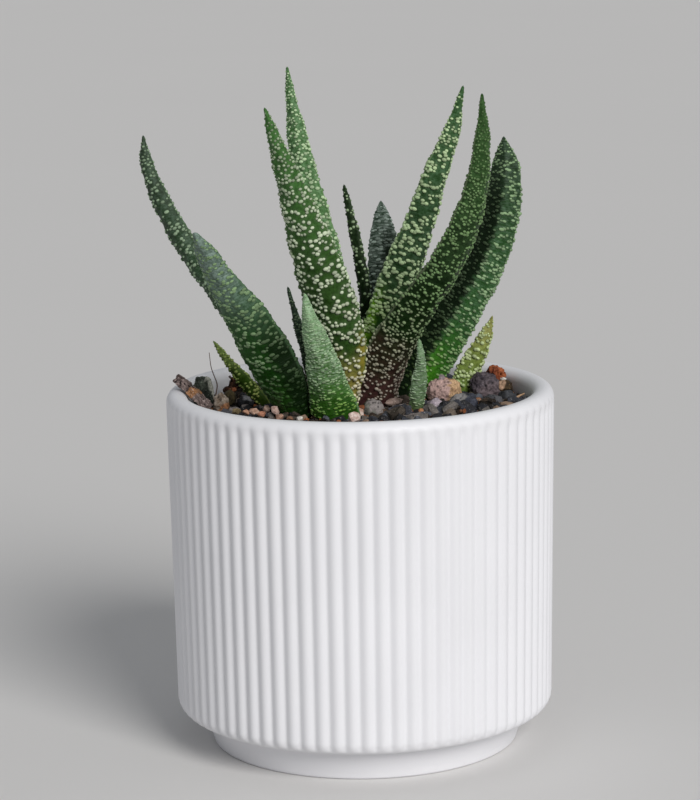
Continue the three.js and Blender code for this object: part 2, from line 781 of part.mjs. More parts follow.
/** The fill of the pot: a plug whose top is rubble, raised and sunk corner by corner. */
function soilBed() {
  const { height, crown, rubble, columns, rings } = SOIL;
  const flats = Math.cos(Math.PI / POT.plainColumns); // the wall's facets stand this much nearer
  const inner = POT.innerLowerRadius * flats - GAP;
  const reaches = Array.from({ length: rings }, (_, i) => (inner - 1) * Math.sqrt(1 - i / rings));
  const profile = [
    [0, POT.floorHeight + GAP],
    [POT.floorRadius - GAP, POT.floorHeight + GAP],
    [POT.innerShelfRadius - GAP, POT.innerShelfHeight - 1 + GAP],
    [inner - 2, POT.innerShelfHeight + GAP],
    [inner, POT.innerShelfHeight + POT.innerShelfRise + GAP],
    [inner, height],
    ...reaches.map((radius) => [radius, soilLevel(radius)]),
    [0, height + crown],
  ];
  const bed = weld(turned(profile, columns));
  const position = bed.attributes.position;
  const random = seeded(SEEDS.soil);
  for (let i = 0; i < position.count; i += 1) {
    const isTop = position.getZ(i) > height + 0.001;
    if (isTop) position.setZ(i, position.getZ(i) + rubble * (random() - 0.5));
  }
  return toSolid(bed);
}

/** The larger grit is strewn evenly by area, each piece sunk by about half, with one low heap. */
function gritSolids() {
  const random = seeded(SEEDS.grit);
  const [least, most] = SOIL.gritSize;
  const heap = { ...SOIL.heap, turn: 0, rough: 0.12, detail: 0, seed: SEEDS.gritShapes - 1 };
  const strewn = Array.from({ length: SOIL.grit }, (_, i) => {
    const size = least + (most - least) * random() ** 1.6;
    const distance = (SOIL.gritReach - size * 1.5) * Math.sqrt(random());
    const azimuth = 2 * Math.PI * random();
    const half = [size * (1 + 0.3 * random()), size, size * (0.6 + 0.3 * random())];
    const level = soilLevel(distance) + 0.25 * size;
    const at = [distance * Math.cos(azimuth), distance * Math.sin(azimuth), level];
    const turn = 360 * random();
    const seed = SEEDS.gritShapes + i;
    return toSolid(stoneSurface({ at, half, turn, rough: 0.16, detail: 0, seed }, 0));
  });
  return [toSolid(stoneSurface(heap, 0)), ...strewn];
}

// ---------------------------------------------------------------- assembly

/** Cuts a solid clear of every clearance that reaches into it. */
function cutClear(solid, clearances) {
  return clearances.reduce((rest, clearance) => {
    const crosses = rest.intersect(clearance).volume() > 0;
    return crosses ? rest.subtract(clearance) : rest;
  }, solid);
}

const plant = new THREE.Group();
plant.add(named("pot", buildPot(), COLOURS.ceramic, 0.5));

const leafEntries = Object.entries(LEAVES);
const stemClearance = stemSolid(GAP);
plant.add(named("stem", stemSolid(0), COLOURS.stem, 0.7));

// A leaf listed earlier clasps the ones after it, so those are cut clear of it at the crown.
leafEntries.forEach(([name, leaf], i) => {
  const before = leafEntries.slice(0, i);
  const clearances = before.map(([, other]) => leafClearance(other, WARTS.height + GAP));
  const solid = cutClear(leafSolid(leaf, SEEDS.leaves + i), [stemClearance, ...clearances]);
  plant.add(named(name, largestBody(solid), leaf.colour, 0.5));
});

const leafHoles = leafEntries.map(([, leaf]) => leafClearance(leaf, GAP));
const stones = Object.keys(STONES).map((name, i) => {
  const shape = { ...STONES[name], seed: SEEDS.stones + i };
  return { name, shape, pocket: toSolid(stoneSurface(shape, GAP)) };
});
stones.forEach(({ name, shape }, i) => {
  const clearances = [...leafHoles, ...stones.slice(0, i).map((stone) => stone.pocket)];
  const solid = cutClear(toSolid(stoneSurface(shape, 0)), clearances);
  plant.add(named(name, largestBody(solid), STONE_COLOURS[name], 0.8));
});

const stonePockets = stones.map((stone) => stone.pocket);
const slabPocket = barkSlab(GAP);
const slab = cutClear(barkSlab(0), stonePockets);
const curl = cutClear(barkCurl(0), [slabPocket, ...stonePockets]);
plant.add(named("bark_slab", largestBody(slab), BARK.slabColour, 0.9));
plant.add(named("bark_curl", largestBody(curl), BARK.curlColour, 0.9));

const gritted = gritSolids().reduce((bed, stone) => bed.add(stone), soilBed());
const pockets = [stemClearance, ...leafHoles, ...stonePockets, slabPocket, barkCurl(GAP)];
plant.add(named("soil", largestBody(cutClear(gritted, pockets)), COLOURS.soil, 0.95));

export default plant;
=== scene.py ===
"""A young warty gasteria in a ribbed white pot: the finished look of every piece.

The file is laid out as an add-on and is run as a script. Each operator makes one kind of piece from
the settings in the scene, in metres, with the centre of the pot's foot at the origin.
"""

import math
import random
from collections import namedtuple

import bmesh
import bpy
import numpy as np
from bpy.props import FloatProperty, FloatVectorProperty, IntProperty, PointerProperty
from mathutils import Matrix, Vector, noise


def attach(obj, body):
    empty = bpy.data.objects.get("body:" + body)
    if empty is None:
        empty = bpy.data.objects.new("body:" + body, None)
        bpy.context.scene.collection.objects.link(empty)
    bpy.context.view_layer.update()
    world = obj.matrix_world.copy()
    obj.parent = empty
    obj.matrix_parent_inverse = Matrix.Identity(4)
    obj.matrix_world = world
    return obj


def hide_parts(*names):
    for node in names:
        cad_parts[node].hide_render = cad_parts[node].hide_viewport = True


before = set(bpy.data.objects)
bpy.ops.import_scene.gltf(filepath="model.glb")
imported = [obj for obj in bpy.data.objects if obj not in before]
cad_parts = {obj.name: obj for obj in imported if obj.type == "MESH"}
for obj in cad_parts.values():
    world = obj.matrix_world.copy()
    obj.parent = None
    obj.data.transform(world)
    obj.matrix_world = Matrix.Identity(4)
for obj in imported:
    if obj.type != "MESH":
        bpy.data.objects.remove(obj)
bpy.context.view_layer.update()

bl_info = {
    "name": "Potted Gasteria",
    "version": (1, 0, 0),
    "blender": (4, 5, 0),
    "location": "View3D > Sidebar > Gasteria",
    "description": "A warty gasteria in a ribbed ceramic pot, with gravel and bark on the soil",
    "category": "Add Mesh",
}

MM = 0.001

# -------- measures, in millimetres

POT = {
    "height": 102.1,
    "radius": 55.0,
    "lower_radius": 54.0,
    "shoulder_radius": 50.2,
    "shoulder_round": 3.8,
    "recess_height": 9.5,
    "foot_radius": 44.0,
    "foot_round": 0.9,
    "lip_round": 3.0,
    "mouth_radius": 48.7,
    "ribs_full_from": 12.0,
    "ribs_full_to": 96.4,
    "ribs_end": 101.4,
    "first_valley": -91.7,
}

# The pot's outline, as radius and height, where it is neither straight nor an arc, and the heights
# at which its body is cut into rings.
UNDERSIDE = ((8, 0), (30, 0))
FOOT_SIDE = ((45.3, 5), (46.35, 8.2), (46.9, 9.2), (47.6, 9.5), (48.9, 9.5))
INSIDE = (
    (48.65, 97), (48.6, 92), (48.4, 70), (48.2, 40), (48, 19), (47.5, 16), (46, 15), (41, 14),
    (40, 10), (38.5, 5.9), (37.5, 5.5), (15, 5.5),
)
BODY_HEIGHTS = (18, 26, 38, 50, 62, 74, 84, 91, *np.linspace(95.5, 99.1, 8))

SOIL_LEVEL = 95.7

# Each leaf's `faces` is the azimuth of its rounded outer side at the foot and at the tip, `keel`
# moves its ridge across, and `ridge` says how far that side is a ridge rather than round. Its
# stations go from the buried foot to the tip: x, y, z, width, thickness.
Leaf = namedtuple("Leaf", "faces keel ridge stations")
LEAVES = {
    "leaf_01": Leaf((-118, -112), 0.0, 0.5, (
        (-10.5, 1.2, 87, 5, 3), (-15, 1.8, 94.5, 6.4, 4), (-21.3, 3, 102.5, 7.4, 4.6),
        (-31.2, 6.6, 116.6, 7.8, 4.8), (-40.3, 10, 129.4, 7.4, 4.6), (-48, 13, 139.9, 6.8, 4.2),
        (-53.5, 15, 149.4, 6.2, 3.8), (-57.8, 16, 158.7, 5, 3.2), (-60, 17, 165.8, 3.6, 2.4),
        (-60.6, 17.2, 172.4, 0.8, 0.8),
    )),
    "leaf_02": Leaf((-112, -120), 0.35, 0.5, (
        (-10, -7, 86, 6, 3), (-15, -12, 92, 9, 5), (-18.2, -15.2, 98.5, 11, 6.4),
        (-21.8, -19, 108, 14.4, 7), (-26.6, -23, 118.5, 15.2, 6.6), (-31.6, -27, 128.5, 12.8, 5.4),
        (-37, -31, 137.5, 9.4, 4.4), (-40.9, -35, 145.8, 6.6, 3.4), (-43.6, -37.6, 151.4, 1.6, 1.2),
    )),
    "leaf_03": Leaf((-100, -108), 0.1, 0.5, (
        (-4.5, -4.5, 86, 6, 3), (-6.2, -6.8, 94, 9, 4.4), (-5.7, -9.4, 104, 12, 5.2),
        (-5.4, -13, 114, 15, 5.8), (-7.2, -17.5, 126, 15, 5.8), (-10.4, -22.8, 138.5, 13.6, 5.2),
        (-13.8, -28, 150, 11.3, 4.6), (-17.7, -33, 163.5, 7.6, 3.6), (-21.2, -37, 174.7, 4.4, 2.4),
        (-24.1, -39, 184.5, 0.8, 0.8),
    )),
    "leaf_04": Leaf((-104, -110), 0.2, 0.5, (
        (-4.5, 4.5, 86, 6, 3), (-5.6, 5.6, 96, 8.2, 4), (-6, 7, 108, 10, 4.8),
        (-7.2, 8.6, 122, 12, 5), (-9.8, 10, 135.6, 12, 4.8), (-13, 12, 150.7, 10.3, 4.2),
        (-15.2, 14, 162, 8, 3.6), (-16.9, 15.2, 173.8, 5.4, 2.8), (-18.2, 16, 182.8, 3, 1.8),
        (-19.1, 16.4, 191.3, 0.8, 0.8),
    )),
    "leaf_05": Leaf((80, 60), 0.0, 0.5, (
        (0.8, 9.8, 87, 3, 2), (2.2, 10.6, 101, 3.6, 2.4), (2.4, 11, 116.6, 3.7, 2.5),
        (1.8, 12.4, 128, 3.6, 2.4), (0.1, 14, 139.2, 3.4, 2.2), (-2, 15, 149.8, 2.5, 1.7),
        (-3.5, 16, 157.5, 0.8, 0.8),
    )),
    "leaf_06": Leaf((84, 80), 0.0, 0.5, (
        (4.5, 12.2, 87, 5.5, 3), (6, 15.5, 97, 8, 4), (7.2, 19, 110, 10, 4.6),
        (7.8, 22, 122, 11, 4.6), (7.9, 25, 133, 10, 4), (7.4, 28, 144.5, 6.4, 2.8),
        (7.1, 30, 151, 0.9, 0.9),
    )),
    "leaf_07": Leaf((-72, -64), 0.55, 0.5, (
        (2.5, 4.2, 86, 6, 3), (2.6, 5.4, 95, 7.5, 3.8), (3, 6.2, 107, 8.8, 4.4),
        (7.6, 5, 121.5, 11, 5), (12.5, 4, 134.7, 11.2, 4.8), (17.7, 3, 148.4, 8.9, 4.2),
        (22.4, 2, 162.6, 7, 3.6), (26.9, 2, 174, 4.8, 2.6), (30.1, 2, 186.2, 0.8, 0.8),
    )),
    "leaf_08": Leaf((-76, -62), 0.35, 0.5, (
        (2.5, -2.5, 86, 6.5, 3.2), (3.6, -3.4, 94, 10.5, 4.6), (5.2, -5.4, 103.5, 12.6, 5.6),
        (8.4, -9.4, 114, 12.8, 5.8), (15, -15.5, 126, 11.4, 5.4), (22.6, -23, 138, 10, 5),
        (28.6, -29, 150.5, 9, 4.4), (32.2, -33.6, 163.5, 6.6, 3.8), (33.5, -36.6, 175.5, 4.4, 2.8),
        (33.5, -38, 187.2, 0.8, 0.8),
    )),
    "leaf_09": Leaf((-90, -98), 0.0, 0.9, (
        (8, 3.5, 86, 6.5, 3.4), (11.6, 4.8, 93.5, 10, 5.4), (15.4, 6.2, 101, 13, 7),
        (21, 8, 110.8, 14.6, 8), (28.9, 10, 123.5, 13.8, 8), (36.2, 11, 136.1, 12.2, 7.2),
        (40.8, 12, 148.9, 11, 6.2), (42.5, 13, 160.2, 8.8, 5), (42.3, 13.4, 166.8, 5, 3),
        (42.1, 13.6, 170.7, 0.9, 0.9),
    )),
    "leaf_10": Leaf((-98, -104), -0.15, 0.5, (
        (-3.5, -9.5, 86, 7, 3), (-5.2, -15.5, 91.5, 11.5, 4.2), (-6.9, -20, 98.5, 13.4, 4.8),
        (-8.9, -23, 107, 11.2, 4.4), (-11.1, -27, 117.5, 8, 3.4), (-13.4, -30, 126.3, 4.8, 2.2),
        (-14.6, -32, 133.5, 0.8, 0.8),
    )),
    "leaf_11": Leaf((-70, -80), 0.0, 0.5, (
        (14.8, -11.2, 88, 3.2, 2.2), (15.5, -13, 97.5, 4.4, 2.6), (16.4, -15, 105.6, 4.3, 2.4),
        (17, -16.8, 112.4, 2.7, 1.8), (16.5, -18, 118.2, 0.7, 0.7),
    )),
    "leaf_12": Leaf((-70, -60), 0.1, 0.5, (
        (27, 13.6, 88, 4, 2.6), (29.3, 14, 97.9, 7, 3.6), (32.2, 14, 105.2, 7, 3.4),
        (35.7, 14, 111.9, 5, 2.6), (38.4, 14, 119.1, 0.7, 0.7),
    )),
    "leaf_13": Leaf((-125, -120), 0.0, 0.5, (
        (-23.8, 4, 89, 3, 2), (-28, 3, 97.5, 4.6, 2.8), (-32.4, 2, 103.3, 4.4, 2.5),
        (-36.8, 1, 109.3, 3, 1.9), (-41.1, 0, 115.6, 0.6, 0.6),
    )),
    "leaf_14": Leaf((-110, -110), 0.0, 0.5, (
        (-10, -2.6, 88, 2.2, 1.8), (-12, -3.4, 96.5, 2.6, 2), (-13.6, -4, 105, 2.7, 2),
        (-15.9, -3.2, 115, 2.6, 1.8), (-17.9, -2.2, 123.4, 2.1, 1.5), (-19.8, -1, 130.8, 0.7, 0.7),
    )),
}

# How each leaf looks. `colours` are named by SKIN_COLOURS. `bloom_from` is where along
# the leaf its bluish-grey film starts, partly a real waxy coat and partly a painted reflection
# of the sky above, and `hatch` how far that lies in fine streaks across. `size` and `spacing` are
# the warts', in mm, and `band` is the pitch of their bands. `gap` is how wide the bare bands are,
# `stretch` how much longer a wart is across the leaf, and `rows` how thick warts stand along the
# margins. `raised` makes them lower, and `tip_fade` is how far those near the tip take the skin's
# colour. `stain` is a colour, its range across, its range of height, and how far it
# covers warts: yellowing on leaf_03, a brighter green on leaf_07, a purple-brown edge on leaf_08,
# and painted shade on the flanks of leaf_02, leaf_06 and leaf_09 that lie in shade.
Look = namedtuple(
    "Look",
    "slot colours bloom_from bloom_share hatch size spacing band gap stretch rows"
    " raised tip_fade stain",
    defaults=(1.0, 0.0, None),
)
SKIN_COLOURS = ("Foot", "Body", "Upper", "Bloom", "Margin", "Wart", "Wart Foot")
LOOKS = {
    "leaf_01": Look(
        "leaf_dark", "1d3a14 25431f 1a3012 83958b 5f7a58 93a98b 7f9874",
        -0.2, 0.24, 0.4, 1.05, 1.4, 2.6, 0.2, 1.3, 0.6, tip_fade=0.2,
    ),
    "leaf_02": Look(
        "leaf_bloom", "2f5a1c 194a0b 596e60 8b9d95 4d6b4a 829e73 2a5514",
        0.5, 0.75, 0.45, 1.1, 1.3, 2.7, 0.2, 1.45, 0.5, raised=0.5,
        # painted shade: near-black green on the right flank, shaded by the leaves beside it
        stain=("0b1f06", (0.05, 0.55), (86, 90, 116, 134), 0.8),
    ),
    "leaf_03": Look(
        "leaf_mid", "a2964a 30501d 37662a 6b8a58 5c7a48 c3cfb2 d8d2b4",
        0.5, 0.1, 0.15, 1.35, 1.4, 3.4, 0.15, 1.1, 0.9, tip_fade=0.5,
        stain=("8f8434", (0.7, 0.95), (101, 107, 115, 124), 0.0),
    ),
    "leaf_04": Look(
        "leaf_mid", "36602a 33691f 346427 84a080 7c9c6c b4cda2 a8c08c",
        0.2, 0.5, 0.3, 1.1, 1.2, 2.4, 0.1, 1.2, 1.0,
    ),
    "leaf_05": Look(
        "leaf_dark", "0b2005 0c2006 1a2c12 4a6443 3a5830 a2b891 8aa476",
        0.6, 0.2, 0.3, 1.0, 1.35, 2.6, 0.15, 1.15, 0.9,
    ),
    "leaf_06": Look(
        "leaf_dark", "050f04 071405 2a422e abbab1 5a7260 a9b9ae 2c4026",
        0.45, 0.6, 0.75, 0.9, 1.2, 1.9, 0.25, 1.8, 0.5, raised=0.7,
        # painted shade: near-black green over the right half of this leaf, which lies in shade
        stain=("0a1a0a", (0.25, -0.25), (80, 90, 136, 148), 0.8),
    ),
    "leaf_07": Look(
        "leaf_mid", "35600f 133806 234c17 7c9884 86a070 b4cb9c 9ebb72",
        0.2, 0.22, 0.3, 1.25, 1.2, 3.0, 0.15, 1.25, 1.0,
        stain=("6a9a20", (-0.5, -0.85), (104, 108, 122, 132), 0.0),
    ),
    "leaf_08": Look(
        "leaf_purple", "452a29 0e2605 284a1c 5d7a52 7c8968 6f8d5c a59b8e",
        0.35, 0.2, 0.2, 1.05, 1.2, 2.3, 0.0, 1.1, 0.8, tip_fade=0.45,
        stain=("8d7770", (0.8, 0.99), (90, 96, 106, 118), 0.2),
    ),
    "leaf_09": Look(
        "leaf_dark", "3f7c18 1b4c0e 15300f 8a9f90 89a17c 88a47a 7fa35e",
        0.1, 0.2, 0.6, 1.0, 1.25, 2.2, 0.15, 1.6, 0.9, raised=0.8,
        # painted shade: near-black green on the left facet, which faces away from the light
        stain=("0a1a07", (0.06, -0.1), (80, 90, 150, 172), 0.85),
    ),
    "leaf_10": Look(
        "leaf_bloom", "28560f 3d6c22 84a87a aac4a4 8ca884 a2bb95 7ba648",
        0.15, 0.75, 0.8, 0.75, 1.0, 1.6, 0.15, 1.6, 0.6, raised=0.7,
    ),
    "leaf_11": Look(
        "leaf_bloom", "55663e 67835a 74936a 98b092 96ae8e 9fb596 93a37d",
        0.1, 0.6, 1.0, 0.6, 1.0, 1.5, 0.4, 2.2, 0.7,
    ),
    "leaf_12": Look(
        "leaf_young", "647f36 72863c 8a8a48 a4b27c 949c5c c0cf98 bdd296",
        0.5, 0.2, 0.2, 1.2, 1.1, 2.0, 0.05, 1.2, 0.8,
    ),
    "leaf_13": Look(
        "leaf_young", "25380a 2f4c0c 5c7032 7f9060 6f7e3e 93a65c 9ea85e",
        0.5, 0.3, 0.2, 1.0, 1.1, 1.9, 0.05, 1.15, 0.7,
    ),
    "leaf_14": Look(
        "leaf_dark", "0c1f06 0f230b 1a301b 5f7668 3f5a3c 74896c 5a7048",
        0.3, 0.35, 0.4, 0.65, 1.0, 2.0, 0.2, 1.3, 0.7,
    ),
}

# Stones that stand for a CAD node of the same name: light, dark and fleck colours, how far noise
# moves the surface in mm, how deep the pores are in mm, and on some a patch of another colour that
# faces one way and starts, and may end, at a share of the stone's reach that way. On rock_black the
# patch on its top is a painted highlight.
Stone = namedtuple("Stone", "slot colours relief pores patch", defaults=(None,))
STONES = {
    "rock_tan": Stone(
        "stone_tan", "cdab84 a07e60 e2c8a2", 0.5, 0.05, ("bd9f98", (-0.9, -0.3, 0.1), -0.1),
    ),
    "rock_lava": Stone(
        "stone_lava", "62595e 332e36 8f858b", 0.7, 0.3, ("6c6064", (0.4, -0.6, -0.5), 0.3),
    ),
    "rock_slate": Stone(
        "stone_slate", "4a4d59 2b2d36 6c6f7a", 0.3, 0.0, ("8b8887", (-0.85, -0.2, 0.6), 0.35),
    ),
    "rock_scoria": Stone(
        "stone_scoria", "b0653e 6a2f1c dca378", 0.7, 1.9, ("4a2216", (-0.8, -0.3, -0.3), 0.2),
    ),
    "rock_brown": Stone(
        "stone_brown", "57452f 2a2119 a3865c", 0.3, 0.2, ("c9a489", (-0.7, -0.4, 0.5), 0.5),
    ),
    "rock_grey": Stone("stone_grey", "58585c 36363b 7d7c80", 0.25, 0.1),
    "rock_round": Stone("stone_grey", "4a4c50 2f3034 6d6e72", 0.15, 0.0),
    "rock_lilac": Stone("stone_lilac", "bdb0b9 948893 ddd4da", 0.2, 0.0),
    "rock_quartz": Stone("stone_quartz", "e2d0c6 c09a88 f8efe8", 0.2, 0.0),
    "rock_green": Stone(
        "stone_green", "77776f 45453f 9d9d92", 0.3, 0.25, ("8f8886", (0.6, -0.3, 0.6), 0.2),
    ),
    "rock_dark": Stone("stone_slate", "4b4a51 2a2a30 706f77", 0.3, 0.15),
    # painted highlight: the pale grey patch on the black rock's top
    "rock_black": Stone(
        "stone_black", "28282c 131316 5a5a60", 0.3, 0.1, ("8f8f93", (0.3, -0.2, 0.9), 0.55),
    ),
    "chip_flat": Stone("stone_cream", "c2aaa0 8f7a6f e0d2c8", 0.2, 0.0),
    "chip_cream": Stone(
        "stone_cream", "d3c4b4 8f7c6a f2e9de", 0.35, 0.25, ("c99068", (0.5, -0.4, -0.9), 0.3),
    ),
}

# Bark: as for stones, with the share of its face that is whole, and the ways along and across its
# grain.
Bark = namedtuple("Bark", "piece slot colours relief holes grain across patch")
BARK_PIECES = {
    "bark_slab": Bark(
        "bark_slab_split", "bark", "a08d88 4e403c c9b8b2", 0.3, 0.24, (-0.64, 0.58, 0.49),
        (0.69, 0.72, 0.0), ("b9875f", (0.64, -0.58, -0.49), -0.2, 0.25),
    ),
    "bark_curl": Bark(
        "bark_curl_flake", "bark_dark", "6a7266 2f352e 959c8e", 0.2, 0.4, (0, 0, 1),
        (0.99, -0.09, 0), ("cfd0c4", (0.8, -0.1, 0.55), 0.72),
    ),
    "bark_lump": Bark(
        "bark_lump_fibre", "bark_dark", "5a3c2c 1a100b 9a6a4c", 0.55, 0.1, (0.5, 0.2, 0.84),
        (0.84, -0.2, -0.5), ("6e4630", (0.9, 0.0, 0.3), 0.5),
    ),
}

# Strands: points, radius, and light and dark colours.
STRANDS = {
    "root_hair": (
        ((-41.8, 5, 97), (-41.1, 6, 100.1), (-40.9, 7, 102.2), (-41.9, 9, 104.6), (-42.6, 9, 107),
         (-43, 9, 111)),
        0.2, "6e4c3a 2a1b14",
    ),
    "straw_bit": (((43.4, -1.5, 97.4), (45, 0, 98.4), (46.8, 1.2, 99)), 0.45, "c9a886 8a6a4c"),
}

# Small loose chips on top of the gravel: centre, half sizes, turn, and light, dark, fleck colours.
CHIPS = (
    ((41.6, 16, 100.6), (1.1, 0.8, 0.5), 20, "d8d4cc a8a29c f4f0ea"),
    ((23.2, 0.9, 103.8), (1.2, 1.0, 1.4), 50, "a89a9c 7c6f72 cabfc2"),
    ((33.2, -7.2, 98.3), (1.3, 1.0, 1.6), 10, "b58460 84583c d4a888"),
    ((16.8, -18.5, 98.2), (1.1, 0.9, 0.9), 70, "c08a64 8c5c40 dcb08c"),
    ((-34.7, -15.4, 98.4), (1.5, 1.1, 1.0), 15, "8a7a58 574b34 ab9c78"),
    ((-31.9, -17, 98.4), (1.4, 1.1, 1.0), 60, "c79a80 946a54 e2bea8"),
    ((-29.6, -17.3, 98.6), (1.6, 1.2, 1.2), -20, "d9b8a4 a98672 f0d8c8"),
    ((-27.4, -20.3, 98.5), (1.3, 1.0, 0.9), 35, "c98f74 925c44 e0b49c"),
    ((-26.2, -14, 98.8), (1.3, 1.1, 1.2), 80, "e0c4b4 b0907e f6e2d6"),
    ((-23.8, -17.8, 99), (1.4, 1.1, 1.7), 5, "dcc0b4 a8877a f4e0d6"),
    ((-22.3, -24.8, 98.5), (1.3, 1.1, 1.1), 50, "c7a08c 946e5c e4c6b4"),
    ((-19.5, -26.5, 98.3), (1.1, 0.9, 0.8), 25, "8e6a54 5e4232 b08a72"),
    ((-16.8, -27.5, 98.4), (1.1, 0.9, 0.9), -20, "ece6de c0b8ae fbf8f4"),
    ((-1.9, -29.5, 98.8), (2.1, 1.5, 1.8), 12, "ead9d1 bd9e92 faf2ec"),
    ((-37.3, 3.2, 98.8), (2.3, 1.6, 2.6), 25, "5c5238 262218 8a7d5a"),
)

# -------- settings a user would change

LENGTH = {"precision": 5, "unit": "LENGTH", "subtype": "DISTANCE"}
TINT = {"size": 3, "min": 0.0, "max": 1.0, "subtype": "COLOR"}


class PotSettings(bpy.types.PropertyGroup):
    """The ribbed pot."""

    ribs: IntProperty(name="Ribs", description="Ribs round the pot", default=80, min=12, max=160)
    rib_depth: FloatProperty(
        name="Rib depth",
        description="How deep the valleys between the ribs are",
        default=0.72 * MM,
        **LENGTH,
    )
    rib_softness: FloatProperty(
        name="Rib softness",
        description="How rounded the valleys are, from sharp at 0 to a plain wave near 1",
        default=0.28,
        min=0.02,
        max=1.0,
        subtype="FACTOR",
    )
    glaze: FloatVectorProperty(
        name="Glaze",
        description="Colour of the matte white glaze",
        default=(0.82, 0.82, 0.85),
        **TINT,
    )


class LeafSettings(bpy.types.PropertyGroup):
    """The leaves and their warts."""

    wart_scale: FloatProperty(
        name="Wart scale",
        description="Size of all warts against the size given for each leaf",
        default=1.0,
        min=0.3,
        max=2.0,
        subtype="FACTOR",
    )
    wart_height: FloatProperty(
        name="Wart height",
        description="Height of a wart against its width",
        default=0.55,
        min=0.2,
        max=1.2,
        subtype="FACTOR",
    )
    skin_relief: FloatProperty(
        name="Skin relief",
        description="Height of the low ripples across the leaf",
        default=0.12 * MM,
        **LENGTH,
    )


class SoilSettings(bpy.types.PropertyGroup):
    """The soil and the gravel strewn on it."""

    gravel_spacing: FloatProperty(
        name="Gravel spacing",
        description="Least distance between two pieces of gravel",
        default=2.7 * MM,
        **LENGTH,
    )
    grit_spacing: FloatProperty(
        name="Grit spacing",
        description="Least distance between two grains of fine grit",
        default=1.22 * MM,
        **LENGTH,
    )
    seed: IntProperty(name="Seed", description="Changes how the gravel falls", default=4)


class StageSettings(bpy.types.PropertyGroup):
    """Floor, lights and camera."""

    floor: FloatVectorProperty(
        name="Floor",
        description="Colour of the plain floor",
        default=(0.7, 0.69, 0.68),
        **TINT,
    )
    key_strength: FloatProperty(
        name="Key strength", description="Strength of the main light", default=2.3
    )
    key_softness: FloatProperty(
        name="Key softness",
        description="How wide the main light looks from the plant",
        default=math.radians(28),
        subtype="ANGLE",
    )
    sky: FloatProperty(name="Sky", description="Strength of the light from all round", default=0.33)
    focal_length: FloatProperty(
        name="Focal length", description="Camera lens in millimetres", default=126.6
    )
    elevation: FloatProperty(
        name="Elevation",
        description="How far the camera looks down",
        default=math.radians(10.82),
        subtype="ANGLE",
    )


# -------- node helpers

GREY = (0.5, 0.5, 0.5, 1.0)
COLOUR, NUMBER, GEOMETRY = "NodeSocketColor", "NodeSocketFloat", "NodeSocketGeometry"
SOCKET_KINDS = {tuple: COLOUR, float: NUMBER, int: "NodeSocketInt"}
SURFACE = {"Colour": COLOUR, "Roughness": NUMBER, "Height": NUMBER}


class Flow:
    """A node's output that can be reckoned with: `a * b` adds a Multiply node to its tree."""

    def __init__(self, tree, output):
        self.tree, self.output = tree, output

    def __add__(self, other):
        return calc("ADD", self, other)

    def __sub__(self, other):
        return calc("SUBTRACT", self, other)

    def __rsub__(self, other):
        return calc("SUBTRACT", other, self)

    def __mul__(self, other):
        return calc("MULTIPLY", self, other)

    def __truediv__(self, other):
        return calc("DIVIDE", self, other)


def tree_of(*values):
    """The tree of the first flow among these values."""
    return next(value.tree for value in values if isinstance(value, Flow))


def fill(target, value):
    """Links a flow to a node's input, or sets a plain value on it."""
    if isinstance(value, Flow):
        value.tree.links.new(value.output, target)
    else:
        target.default_value = value


def socket(sockets, key):
    """A node's socket by its place, or by its name among those in use."""
    if isinstance(key, int):
        return sockets[key]
    return next(s for s in sockets if s.name == key and s.enabled)


def wire(tree, kind, inputs=None, give=0, **settings):
    """Adds a node and fills its inputs. Returns the output `give`, several of them, or the node."""
    node = tree.nodes.new(kind)
    for field, value in settings.items():
        setattr(node, field, value)
    for key, value in (inputs or {}).items():
        fill(socket(node.inputs, key), value)
    if give is None:
        return node
    if isinstance(give, tuple):
        return [Flow(tree, socket(node.outputs, key)) for key in give]
    return Flow(tree, socket(node.outputs, give))


def calc(operation, a, b=0.0, c=0.0):
    """Reckons with numbers, of which one at least is a flow."""
    return wire(tree_of(a, b), "ShaderNodeMath", {0: a, 1: b, 2: c}, operation=operation)


def smooth(value, low, high, start=0.0, end=1.0, curve="SMOOTHSTEP"):
    """A smooth step from `start` to `end` as the value goes from low to high."""
    inputs = {"Value": value, "From Min": low, "From Max": high, "To Min": start, "To Max": end}
    return wire(value.tree, "ShaderNodeMapRange", inputs, interpolation_type=curve)


def mix(share, a, b, kind="RGBA", blend="MIX"):
    """Two colours mixed, or two values of another kind."""
    inputs, how = {"Factor": share, "A": a, "B": b}, {"data_type": kind, "blend_type": blend}
    return wire(tree_of(share, a, b), "ShaderNodeMix", inputs, give="Result", **how)


def shaded(colour, value):
    """A colour made darker or lighter by a number."""
    grey = wire(value.tree, "ShaderNodeCombineColor", {0: value, 1: value, 2: value})
    return mix(1.0, colour, grey, blend="MULTIPLY")


def triple(x, y, z=0.0):
    return wire(tree_of(x, y, z), "ShaderNodeCombineXYZ", {0: x, 1: y, 2: z})


def clouds(vector, scale, detail=2.0, rough=0.5):
    """Soft noise from 0 to 1."""
    inputs = {"Vector": vector, "Scale": scale, "Detail": detail, "Roughness": rough}
    return wire(vector.tree, "ShaderNodeTexNoise", inputs, give="Fac")


def cells(vector, scale):
    """How far each place is from the nearest of many scattered points."""
    inputs = {"Vector": vector, "Scale": scale}
    return wire(vector.tree, "ShaderNodeTexVoronoi", inputs, give="Distance")


def place(tree):
    return wire(tree, "ShaderNodeTexCoord", give="Object")


def trait(tree, name):
    """A number stored on the piece's own points, for a material."""
    return wire(tree, "ShaderNodeAttribute", give="Fac", attribute_name=name)


